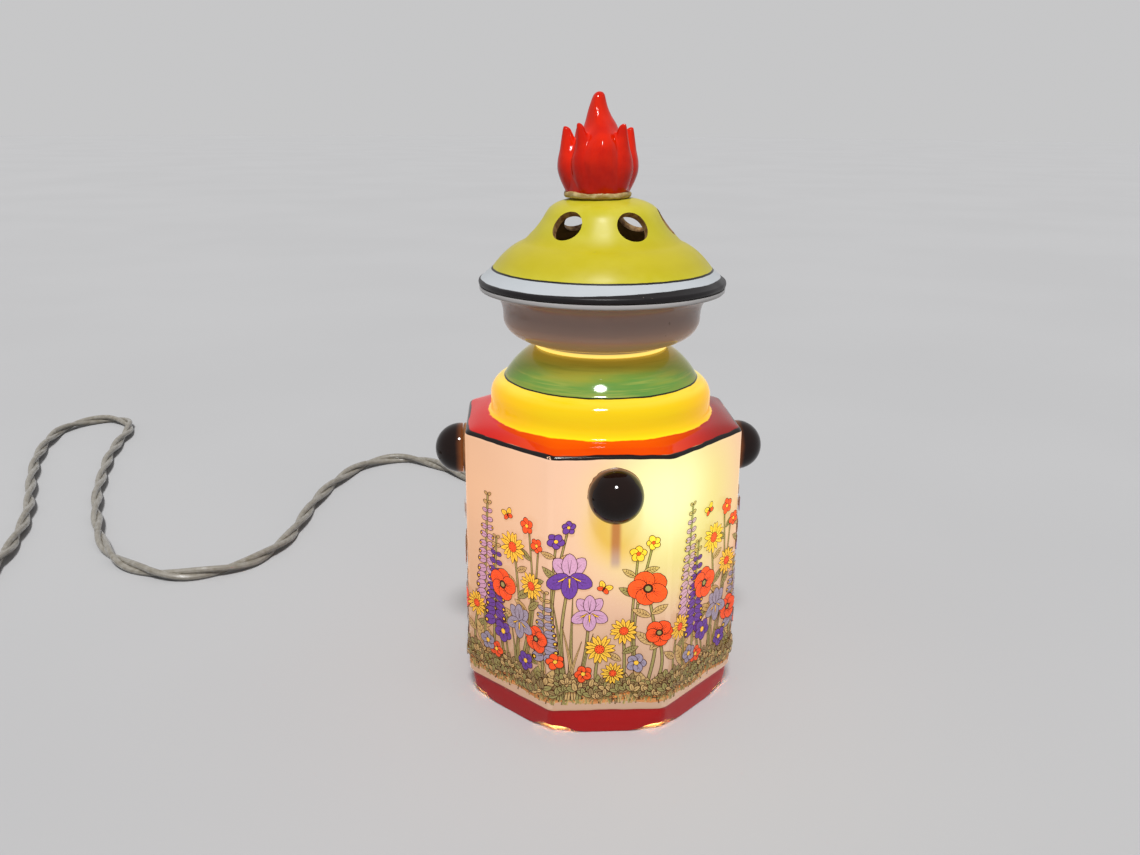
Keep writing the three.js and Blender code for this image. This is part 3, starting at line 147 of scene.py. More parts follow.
class Value:
    """One output of a node. Arithmetic on it adds the matching nodes."""

    def __init__(self, nodes: "Nodes", socket: bpy.types.NodeSocket) -> None:
        """Keeps the socket and the tree that it is in."""
        self.nodes = nodes
        self.socket = socket

    def _with(self, operation: str, other: Input, flip: bool = False) -> "Value":
        """This value and another brought together; flip puts the other one first.

        Args:
            operation: Blender's name for it.
            other: the other value.
            flip: whether the other one comes first.

        Returns:
            The result.
        """
        kinds = {v.socket.type for v in (self, other) if isinstance(v, Value)}
        pair = [other, self] if flip else [self, other]
        if "VECTOR" in kinds:
            return self.nodes.node("ShaderNodeVectorMath", pair, operation=operation)
        if "RGBA" in kinds or isinstance(other, tuple):
            return self.nodes.blend(*pair, 1.0, operation)
        return self.nodes.node("ShaderNodeMath", pair, operation=operation)

    def __add__(self, other: Input) -> "Value":
        """This value plus another."""
        return self._with("ADD", other)

    def __radd__(self, other: Input) -> "Value":
        """A number or colour plus this value."""
        return self._with("ADD", other, True)

    def __sub__(self, other: Input) -> "Value":
        """This value less another."""
        return self._with("SUBTRACT", other)

    def __rsub__(self, other: Input) -> "Value":
        """A number or colour less this value."""
        return self._with("SUBTRACT", other, True)

    def __mul__(self, other: Input) -> "Value":
        """This value times another."""
        return self._with("MULTIPLY", other)

    def __rmul__(self, other: Input) -> "Value":
        """A number or colour times this value."""
        return self._with("MULTIPLY", other, True)

    def most(self, other: "Value | float") -> "Value":
        """The larger of two numbers."""
        return self.nodes.node("ShaderNodeMath", [self, other], operation="MAXIMUM")

    def absolute(self) -> "Value":
        """The number without its sign."""
        return self.nodes.node("ShaderNodeMath", [self], operation="ABSOLUTE")

    def step(
        self, low: float, high: float, start: float = 0.0, end: float = 1.0, steady: bool = False
    ) -> "Value":
        """A step from start, at low, to end, at high: soft at both ends, or steady."""
        settings = {"interpolation_type": "LINEAR" if steady else "SMOOTHSTEP"}
        return self.nodes.node("ShaderNodeMapRange", [self, low, high, start, end], **settings)

    def band(self, low: float, high: float, soft: float) -> "Value":
        """1 between low and high, and 0 outside them."""
        return self.step(low - soft, low + soft) * self.step(high - soft, high + soft, 1.0, 0.0)


class Nodes:
    """The node tree of a material or of the world."""

    def __init__(self, owner: bpy.types.Material | bpy.types.World) -> None:
        """Takes the owner's tree and empties it.

        Args:
            owner: what the tree belongs to.
        """
        owner.use_nodes = True
        self.tree = owner.node_tree
        self.tree.nodes.clear()

    def node(
        self, kind: str, inputs: Sequence | dict = (), output: int | str = 0, **settings: object
    ) -> Value:
        """Adds a node.

        Args:
            kind: Blender's name for the kind of node.
            inputs: values for its inputs, in order or by index or name.
            output: which output is wanted.
            settings: properties of the node.

        Returns:
            The wanted output.
        """
        made = self.tree.nodes.new(kind)
        for name, value in settings.items():
            setattr(made, name, value)
        pairs = inputs.items() if isinstance(inputs, dict) else enumerate(inputs)
        for key, value in pairs:
            self.feed(made.inputs[key], value)
        return Value(self, made.outputs[output])

    def feed(self, socket: bpy.types.NodeSocket, value: Input) -> None:
        """Links a value to a socket, or sets a constant on it.

        Args:
            socket: the input.
            value: what goes in.
        """
        if isinstance(value, Value):
            self.tree.links.new(value.socket, socket)
        elif socket.type in ("RGBA", "VECTOR"):
            triple = value if isinstance(value, tuple) else (value, value, value)
            socket.default_value = (*triple, 1.0) if socket.type == "RGBA" else triple
        else:
            socket.default_value = value

    def blend(self, first: Input, second: Input, share: "Value | float", way: str = "MIX") -> Value:
        """Two colours brought together; share is the second one's part."""
        inputs = {0: share, 6: first, 7: second}
        return self.node("ShaderNodeMix", inputs, 2, data_type="RGBA", blend_type=way)

    def layers(self, colour: Input, *covers: tuple["Value", Input]) -> Input:
        """A colour with others over it.

        Args:
            colour: the lowest one.
            covers: each cover's mask and colour.

        Returns:
            The colour on top.
        """
        for mask, tint in covers:
            colour = self.blend(colour, tint, mask)
        return colour

    def seen(self) -> Value:
        """1 where a ray comes from the camera, a reflection or glass.

        Returns:
            The mask.
        """
        kinds = ("Is Camera Ray", "Is Glossy Ray", "Is Transmission Ray")
        first, *others = (self.node("ShaderNodeLightPath", (), kind) for kind in kinds)
        for other in others:
            first = first.most(other)
        return first


class Shader(Nodes):
    """A material's nodes. Places in it are in millimetres of the lamp's own frame."""

    def __init__(self, name: str) -> None:
        """Makes the material with its surface, and the place on it.

        Args:
            name: the material's name.
        """
        self.material = bpy.data.materials.new(name)
        super().__init__(self.material)
        self.surface = self.tree.nodes.new("ShaderNodeBsdfPrincipled")
        output = self.tree.nodes.new("ShaderNodeOutputMaterial")
        self.tree.links.new(self.surface.outputs[0], output.inputs[0])
        metres = self.node("ShaderNodeTexCoord", output="Object")
        self.place = metres * (1000.0, 1000.0, 1000.0)
        split = self.node("ShaderNodeSeparateXYZ", [self.place])
        self.x, self.y, self.z = (Value(self, socket) for socket in split.socket.node.outputs)

    def noise(self, size: float, detail: float = 2.0, stretch: tuple = (1.0, 1.0, 1.0)) -> Value:
        """Cloudy noise with features of that size in millimetres."""
        inputs = {"Vector": self.place * stretch, "Scale": 1 / size, "Detail": detail}
        return self.node("ShaderNodeTexNoise", inputs)

    def distance(self, centre: tuple) -> Value:
        """How far a place is from a point, in millimetres."""
        inputs = [self.place, centre]
        return self.node("ShaderNodeVectorMath", inputs, "Value", operation="DISTANCE")

    def distance_from_axis(self) -> Value:
        """How far a place is from the lamp's upright axis, in millimetres."""
        flat = self.place * (1.0, 1.0, 0.0)
        return self.node("ShaderNodeVectorMath", [flat], "Value", operation="LENGTH")

    def ramp(self, share: Value, stops: Sequence[tuple[float, Colour]]) -> Value:
        """A colour that runs through stops.

        Args:
            share: 0 at the first stop and 1 at the last.
            stops: the share and colour of each.

        Returns:
            The colour.
        """
        colour = self.node("ShaderNodeValToRGB", [share])
        marks = colour.socket.node.color_ramp.elements
        for place, tint in stops[1:-1]:
            marks.new(place).color = (*tint, 1.0)
        marks[0].color = (*stops[0][1], 1.0)
        marks[-1].color = (*stops[-1][1], 1.0)
        return colour

    def relief(self, height: Value, depth: float) -> Value:
        """A normal from a height between 0 and 1 that stands for depth millimetres."""
        inputs = {"Strength": 1.0, "Distance": depth * MM, "Height": height}
        return self.node("ShaderNodeBump", inputs)

    def finish(self, **inputs: Input) -> bpy.types.Material:
        """Feeds the surface's inputs.

        Args:
            inputs: what goes in, by name with underscores for spaces.

        Returns:
            The material.
        """
        for name, value in inputs.items():
            self.feed(self.surface.inputs[name.replace("_", " ")], value)
        return self.material


@dataclass(frozen=True)
class Finish:
    """A finish of one colour, mottled, with fine relief.

    Args:
        name: the material's name.
        colour: the main colour.
        other: the colour that it is mottled with.
        size: the mottling's size in millimetres.
        roughness: lowest and highest roughness.
        depth: the relief's depth in millimetres.
        metallic: 1 for a metal.
        coat: weight of the clear coat.
        stretch: how the mottling is stretched along the axes.
        gloss: how strongly it reflects.
        transmission: 1 for glass.
        glow: how strongly it shines by itself.
    """

    name: str
    colour: Colour
    other: Colour
    size: float = 3.0
    roughness: Point = (0.15, 0.3)
    depth: float = 0.02
    metallic: float = 0.0
    coat: float = 0.0
    stretch: tuple = (1.0, 1.0, 1.0)
    gloss: float = 0.5
    transmission: float = 0.0
    glow: float = 0.0

    def material(self) -> bpy.types.Material:
        """Makes the finish's material.

        Returns:
            The material.
        """
        shader = Shader(self.name)
        cloud = shader.noise(self.size, 3.0, self.stretch)
        fine = shader.noise(self.size / 6, 2.0, self.stretch)
        colour = shader.blend(self.colour, self.other, cloud.step(0.35, 0.7))
        inputs = {}
        if self.glow:
            inputs = {"Emission_Color": colour, "Emission_Strength": self.glow}
        return shader.finish(
            Base_Color=colour,
            Roughness=cloud.step(0.3, 0.7, *self.roughness),
            Normal=shader.relief(fine, self.depth),
            Metallic=self.metallic,
            Coat_Weight=self.coat,
            Coat_Roughness=0.05,
            Specular_IOR_Level=self.gloss,
            Transmission_Weight=self.transmission,
            **inputs,
        )


class Glow:
    """The light of the bulb that comes through the porcelain, worked out from the place on it."""

    NO_LIGHT = (0.0, 0.0, 0.0)
    BULB = (0.0, 0.0, 87.0)
    NEAR = 44.0
    FAR = 96.0
    WALL_LIGHT = (
        (0.0, (0.86, 0.50, 0.29)), (0.2, (0.80, 0.455, 0.275)), (0.42, (0.66, 0.375, 0.225)),
        (0.68, (0.50, 0.29, 0.175)), (1.0, (0.44, 0.255, 0.155)),
    )
    LEFT_SHADE = (0.90, 0.80, 0.66)
    # Patches of light: middle, colour, and the distances where it is full and gone. The second lies under the
    # front knob, where the knob's painted shadow leaves only the bulb's deeper yellow light
    PATCHES = (
        ((24.0, -42.0, 84.0), (0.82, 0.72, 0.17), 12.0, 43.0),
        ((3.5, -49.0, 79.5), (0.82, 0.48, 0.03), 6.0, 16.0),
        ((19.0, -46.0, 91.0), (1.0, 1.0, 0.46), 3.0, 27.0),
    )
    # Painted shadow of the bow's arm on the front wall: its heights, and its colours at top and foot
    ARM_FOOT = 66.0
    ARM_TOP = 84.0
    ARM_SHADOW_TOP = (0.50, 0.15, 0.01)
    ARM_SHADOW_FOOT = (0.46, 0.28, 0.20)

    @classmethod
    def walls(cls, shader: Shader) -> Value:
        """Light through the walls, brightest beside the bulb and to the right, with a painted shadow of the
        bow's arm on the front wall under the knob.

        Args:
            shader: the material's nodes.

        Returns:
            The light's colour.
        """
        cloud = (shader.noise(26.0, 1.0) - 0.5) * 12.0
        away = (shader.distance(cls.BULB) + cloud).step(cls.NEAR, cls.FAR, steady=True)
        light = shader.ramp(away, cls.WALL_LIGHT)
        left = shader.x.step(-50.0, -12.0, 1.0, 0.0)
        light = light * shader.blend((1.0, 1.0, 1.0), cls.LEFT_SHADE, left)
        for place, colour, near, far in cls.PATCHES:
            share = (shader.distance(place) + cloud * 0.4).step(near, far, 0.9, 0.0)
            light = shader.blend(light, colour, share)
        # Painted shadow of the bow's arm: a narrow stripe where the arm inside blocks the bulb's light
        front = shader.y.step(-49.0, -48.0, 1.0, 0.0)
        arm_shadow = shader.x.band(0.2, 3.4, 0.9) * shader.z.band(cls.ARM_FOOT, cls.ARM_TOP, 2.0) * front
        shade = shader.blend(cls.ARM_SHADOW_FOOT, cls.ARM_SHADOW_TOP, shader.z.step(cls.ARM_FOOT, 76.0))
        return shader.blend(light, shade, arm_shadow * 0.92)


@dataclass(frozen=True)
class Brushwork:
    """Heights whose borders are uneven, and the marks of the brush.

    Args:
        z: the height, for borders that sway.
        fine_z: the height, for borders that hardly do.
        strokes: streaks round the tower.
        broad: broad clouds.
    """

    z: Value
    fine_z: Value
    strokes: Value
    broad: Value


class TowerGlaze:
    """The tower's enamels: red foot, white walls, red shoulder, yellow collar and green dome."""

    name = "tower_porcelain"
    BLACK = (0.012, 0.008, 0.008)
    WHITE_Z = 9.8
    CHIP = (-20.9, -48.9, 105.3)

    def material(self) -> bpy.types.Material:
        """Makes the material, with every border a little uneven, as brushed enamel is.

        Returns:
            The material.
        """
        shader = Shader(self.name)
        brush = Brushwork(
            z=shader.z + (shader.noise(9.0, 2.0) - 0.5),
            fine_z=shader.z + (shader.noise(5.0, 2.0) - 0.5) * 0.5,
            strokes=shader.noise(2.4, 3.0, (0.10, 0.10, 1.0)),
            broad=shader.noise(8.0, 2.0, (0.3, 0.3, 1.0)),
        )
        lines = self._lines(shader, brush)
        return shader.finish(
            Base_Color=shader.blend(self._enamel(shader, brush), self.BLACK, lines),
            Roughness=brush.broad.step(0.3, 0.7, 0.05, 0.10),
            Normal=shader.relief(brush.strokes, 0.015),
            Emission_Color=shader.blend(self._light(shader, brush), Glow.NO_LIGHT, lines),
            Emission_Strength=1.0,
            Specular_IOR_Level=0.24,
        )

    def _lines(self, shader: Shader, brush: Brushwork) -> Value:
        """The black lines at the shoulder's edge, with its chip, and round the dome's foot.

        Args:
            shader: the material's nodes.
            brush: the uneven heights and the marks of the brush.

        Returns:
            1 on the lines.
        """
        thick = shader.noise(11.0, 1.0).step(0.3, 0.7, 0.0, 0.25)
        even_z = (shader.z + brush.fine_z) * 0.5
        ragged = (shader.noise(0.7, 2.0) - 0.5) * 3.0
        chip = (shader.distance(self.CHIP) + ragged).step(0.55, 0.7)
        edge = (even_z + thick).band(EDGE_Z - 1.05, EDGE_Z + 0.2, 0.08) * chip
        return edge.most((even_z + thick * 0.3).band(DOME_Z, DOME_Z + 0.45, 0.06))

    def _enamel(self, shader: Shader, brush: Brushwork) -> Value:
        """The colours, from the foot up.

        Args:
            shader: the material's nodes.
            brush: the uneven heights and the marks of the brush.

        Returns:
            The colour.
        """
        strokes, broad = brush.strokes, brush.broad
        foot = shader.blend((0.42, 0.006, 0.008), (0.32, 0.004, 0.005), strokes)
        wall = shader.blend((0.27, 0.235, 0.205), (0.245, 0.22, 0.195), broad)
        speck = shader.noise(1.3, 1.0).step(0.80, 0.84)
        wall = shader.blend(wall, (0.16, 0.07, 0.03), speck * 0.7)
        shoulder = shader.blend((0.27, 0.001, 0.001), (0.30, 0.008, 0.001), broad)
        collar = shader.blend((0.52, 0.33, 0.004), (0.46, 0.26, 0.004), strokes)
        streaks = shader.noise(1.1, 3.0, (0.05, 0.05, 1.0))
        fresh = shader.blend((0.055, 0.20, 0.045), (0.20, 0.25, 0.04), strokes.step(0.35, 0.7))
        fresh = shader.blend(fresh, (0.30, 0.32, 0.07), streaks.step(0.46, 0.68) * 0.75)
        olive = shader.blend((0.32, 0.24, 0.03), (0.34, 0.21, 0.025), strokes)
        olive = shader.blend(olive, (0.16, 0.10, 0.01), streaks.step(0.5, 0.7) * 0.6)
        brushed = brush.fine_z + (broad - 0.5) * 6.0 + (strokes - 0.5) * 4.0
        dome = shader.blend(fresh, olive, brushed.step(DOME_Z + 3.0, DOME_Z + 10.0))
        swaying = brush.fine_z + (brush.z - shader.z) * 0.3
        return shader.layers(
            foot,
            (brush.z.step(self.WHITE_Z, self.WHITE_Z + 0.4), wall),
            (brush.fine_z.step(EDGE_Z - 0.1, EDGE_Z + 0.05), shoulder),
            (swaying.step(COLLAR_Z, COLLAR_Z + 0.25), collar),
            (brush.fine_z.step(DOME_Z, DOME_Z + 0.2), dome),
        )

    def _light(self, shader: Shader, brush: Brushwork) -> Value:
        """The bulb's light through the enamels, from the foot up.

        Args:
            shader: the material's nodes.
            brush: the uneven heights and the marks of the brush.

        Returns:
            The light's colour.
        """
        strokes, broad = brush.strokes, brush.broad
        side = shader.x.absolute().step(18.0, 41.0)
        foot = shader.blend((0.06, 0.0, 0.0), (0.13, 0.002, 0.002), shader.x.step(-55.0, 0.0))
        warm = shader.distance((-3.0, -50.0, 106.0)).step(8.0, 46.0, 1.0, 0.0)
        plain = shader.blend((0.36, 0.001, 0.002), (0.02, 0.0, 0.0), shader.x.step(20.0, 44.0))
        shoulder = shader.blend(plain, (0.64, 0.075, 0.0), warm * (broad + 0.5))
        low = shader.z.step(COLLAR_Z + 0.2, COLLAR_Z + 5.0, 1.0, 0.0)
        collar = shader.blend((0.52, 0.38, 0.0), (0.66, 0.50, 0.0), low)
        collar = shader.blend(collar, (0.70, 0.30, 0.0), side * 0.8)
        rim = shader.z.step(DOME_Z - 3.5, DOME_Z - 0.5)
        collar = shader.blend(collar, (0.62, 0.50, 0.05), rim * strokes.step(0.2, 0.6))
        neck = shader.z.step(NECK_Z - 4.5, NECK_Z - 0.4)
        dome = shader.blend((0.085, 0.125, 0.015), (0.17, 0.12, 0.01), neck)
        dome = shader.blend(dome, (0.12, 0.10, 0.0), side * 0.8)
        return shader.layers(
            foot,
            (brush.z.step(self.WHITE_Z, self.WHITE_Z + 0.4), Glow.walls(shader)),
            (brush.fine_z.step(EDGE_Z - 0.1, EDGE_Z + 0.05), shoulder),
            (brush.fine_z.step(COLLAR_Z, COLLAR_Z + 0.25), collar),
            (brush.fine_z.step(DOME_Z, DOME_Z + 0.3), dome),
        )


class DishGlaze:
    """White porcelain, warm at its foot, where the bulb's light comes through, and painted darker towards the
    foot as shade under the lid's rim.
    """

    name = "dish_porcelain"

    def material(self) -> bpy.types.Material:
        """Makes the material.

        Returns:
            The material.
        """
        shader = Shader(self.name)
        broad = shader.noise(12.0, 2.0)
        rings = shader.noise(1.6, 2.0, (0.02, 0.02, 1.0))
        # Painted shade: the bowl's colour darkens and turns pinker and browner from the band under the rim
        # down to the foot, where the lid's rim shades it
        white = shader.blend((0.53, 0.39, 0.34), (0.46, 0.34, 0.295), broad)
        low = shader.blend((0.24, 0.21, 0.11), (0.30, 0.19, 0.09), rings.step(0.35, 0.65))
        bowl = shader.layers(
            low,
            (shader.z.step(DISH_Z + 2.2, BELLY_Z - 1.5), white),
            (shader.z.step(RIM_Z - 2.6, RIM_Z - 1.5), (0.52, 0.50, 0.49)),
        )
        speck = shader.noise(2.2, 2.0).step(0.74, 0.80)
        light = shader.layers(
            Glow.NO_LIGHT,
            (shader.z.step(DISH_Z + 1.2, BELLY_Z + 4.0, 1.0, 0.0), (0.15, 0.075, 0.035)),
            (shader.z.step(DISH_Z + 1.0, DISH_Z + 1.7, 1.0, 0.0), (1.15, 0.80, 0.16)),
        )
        return shader.finish(
            Base_Color=shader.blend(bowl, (0.22, 0.15, 0.12), speck * 0.5),
            Roughness=broad.step(0.3, 0.7, 0.08, 0.16),
            Normal=shader.relief(rings, 0.02),
            Emission_Color=light,
            Emission_Strength=1.0,
            Specular_IOR_Level=0.25,
        )


class LidGlaze:
    """The lid's enamels: black band, white brim, thin black line and brushed yellow."""

    name = "lid_porcelain"
    BLACK = (0.010, 0.008, 0.009)

    def material(self) -> bpy.types.Material:
        """Makes the material.

        Returns:
            The material.
        """
        shader = Shader(self.name)
        radius = shader.distance_from_axis() + (shader.noise(8.0, 2.0) - 0.5) * 0.25
        strokes = shader.noise(3.0, 3.0, (0.22, 0.22, 1.0))
        cloud = shader.noise(9.0, 3.0)
        lemon = shader.blend((0.61, 0.55, 0.020), (0.67, 0.61, 0.06), cloud.step(0.3, 0.7))
        mustard = shader.blend((0.60, 0.50, 0.008), (0.52, 0.42, 0.012), strokes)
        waist = shader.z.band(BRIM_Z + 1.9, WAIST_Z + 2.5, 3.0)
        yellow = shader.blend(lemon, mustard, waist.step(0.0, 1.0, 0.25, 0.75))
        white = shader.blend((0.58, 0.615, 0.645), (0.52, 0.55, 0.575), cloud)
        brim = radius.step(BRIM_R - 0.05, BRIM_R + 0.1)
        wider = shader.x.step(-25.0, 25.0, 0.1, 1.3)
        band = shader.z + (shader.noise(7.0, 1.0) - 0.5) * 0.35 - wider
        chip = shader.noise(1.1, 1.0).step(0.78, 0.80) * band.step(BAND_Z + 0.2, BAND_Z + 0.5, 1.0, 0.0)
        colour = shader.layers(
            yellow,
            (radius.step(BRIM_R - 0.6, BRIM_R - 0.45), self.BLACK),
            (brim, white),
            (brim * band.step(BAND_Z, BAND_Z + 0.15, 1.0, 0.0), self.BLACK),
            (chip * brim * 0.8, (0.32, 0.26, 0.20)),
        )
        return shader.finish(
            Base_Color=colour,
            Roughness=cloud.step(0.3, 0.7, 0.30, 0.42),
            Normal=shader.relief(strokes, 0.025),
            Specular_IOR_Level=0.28,
        )


class KnobGlaze:
    """Near black glaze, with the wall's light in its thin edge beside the wall."""

    name = "knob_glaze"

    def material(self) -> bpy.types.Material:
        """Makes the material.

        Returns:
            The material.
        """
        shader = Shader(self.name)
        cloud = shader.noise(6.0, 3.0)
        reach = shader.x.absolute().most(shader.y.absolute())
        edge = (reach + (cloud - 0.5) * 1.5).step(WALL + 1.6, WALL + 4.2, 1.0, 0.0)
        return shader.finish(
            Base_Color=shader.blend((0.007, 0.0028, 0.002), (0.016, 0.005, 0.003), cloud),
            Roughness=cloud.step(0.3, 0.7, 0.03, 0.07),
            Normal=shader.relief(shader.noise(1.0, 2.0), 0.004),
            Emission_Color=shader.blend(Glow.NO_LIGHT, (0.16, 0.045, 0.010), edge),
            Emission_Strength=1.0,
            Specular_IOR_Level=0.24,
        )


class PrintInk:
    """Ink of the flower transfer. The bulb's light comes through it as through the wall."""

    name = "transfer_ink"
    LAYER = "ink"

    def material(self) -> bpy.types.Material:
        """Makes the material from the ink colour that the print's points carry.

        Returns:
            The material.
        """
        shader = Shader(self.name)
        ink = shader.node("ShaderNodeAttribute", (), "Color", attribute_name=self.LAYER)
        grain = shader.noise(0.7, 2.0).step(0.3, 0.7, 0.82, 1.0)
        colour = shader.blend(Glow.NO_LIGHT, ink, grain)
        return shader.finish(
            Base_Color=colour * (0.62, 0.62, 0.62),
            Roughness=grain * 0.3,
            Emission_Color=colour * Glow.walls(shader) * (1.3, 1.3, 1.4),
            Emission_Strength=1.0,
            Specular_IOR_Level=0.2,
        )


BARE_CLAY = Finish("bare_clay", (0.40, 0.24, 0.085), (0.20, 0.09, 0.03), 1.6, (0.55, 0.8), 0.08)
# Near black for the lid's hidden inside, seen through the vents: painted shade
LID_INSIDE_SHADE = Finish("lid_inside_painted_shade", (0.030, 0.014, 0.009), (0.012, 0.006, 0.004), 4.0, (0.6, 0.8), 0.05)
FLAME_RED = Finish("flame_glaze", (0.80, 0.018, 0.001), (0.66, 0.010, 0.001), 7.0, (0.05, 0.10), 0.02,
                   gloss=0.2)
GLUE = Finish("beige_glue", (0.42, 0.28, 0.09), (0.56, 0.44, 0.20), 2.5, (0.35, 0.6), 0.12)
KNOB_CEMENT = Finish("brown_cement", (0.20, 0.085, 0.03), (0.30, 0.15, 0.06), 2.0, (0.25, 0.45), 0.08)
STEEL = Finish("plated_steel", (0.52, 0.51, 0.49), (0.40, 0.38, 0.35), 5.0, (0.25, 0.45), 0.02, 1.0)
BRASS = Finish("brass", (0.62, 0.42, 0.16), (0.48, 0.30, 0.10), 3.0, (0.2, 0.38), 0.02, 1.0)
NICKEL = Finish("nickel", (0.60, 0.58, 0.54), (0.50, 0.48, 0.44), 3.0, (0.15, 0.3), 0.015, 1.0)
SOLDER = Finish("solder", (0.36, 0.36, 0.37), (0.26, 0.26, 0.27), 0.8, (0.3, 0.5), 0.05, 1.0)
PHENOLIC = Finish("phenolic", (0.020, 0.014, 0.011), (0.035, 0.022, 0.016), 4.0, (0.25, 0.45), 0.03)
BLACK_GLASS = Finish("black_glass", (0.010, 0.010, 0.013), (0.02, 0.02, 0.03), 2.0, (0.05, 0.12), 0.02)
FLEX_PLASTIC = Finish("flex_plastic", (0.030, 0.027, 0.024), (0.05, 0.045, 0.04), 2.5, (0.4, 0.6), 0.04)
PLUG_PLASTIC = Finish("plug_plastic", (0.62, 0.56, 0.46), (0.56, 0.50, 0.40), 5.0, (0.3, 0.45), 0.03)
INSULATION = Finish("clear_insulation", (0.34, 0.315, 0.27), (0.22, 0.195, 0.15), 2.4, (0.18, 0.34), 0.05,
                    coat=0.5)
GLASS = Finish("bulb_glass", (0.95, 0.93, 0.88), (0.92, 0.90, 0.84), 10.0, (0.0, 0.03), 0.005,
               transmission=1.0)
TUNGSTEN = Finish("filament", (1.0, 0.55, 0.2), (1.0, 0.5, 0.16), 2.0, (0.4, 0.5), 0.01, glow=60.0)


class Line:
    """A profile or outline of lines and curves, in millimetres."""

    def __init__(self, x: float, y: float) -> None:
        """Starts at a point."""
        self.points: list[Point] = [(x, y)]

    def to(self, *points: Point) -> "Line":
        """Goes straight to each point."""
        self.points.extend(points)
        return self

    def curve(self, *points: Point, steps: int = 14) -> "Line":
        """Goes along a Bezier curve.

        Args:
            points: one or two handles and the last point.
            steps: how many straight lines it is made of.

        Returns:
            The line, for the next call.
        """
        first, *handles, last = [Vector(p) for p in (self.points[-1], *points)]
        if len(handles) == 1:
            middle = handles[0]
            handles = [first.lerp(middle, 2 / 3), last.lerp(middle, 2 / 3)]
        for i in range(1, steps + 1):
            t = i / steps
            near = [first * (1 - t) ** 3, handles[0] * 3 * t * (1 - t) ** 2]
            far = [handles[1] * 3 * t * t * (1 - t), last * t ** 3]
            self.points.append(tuple(near[0] + near[1] + far[0] + far[1]))
        return self


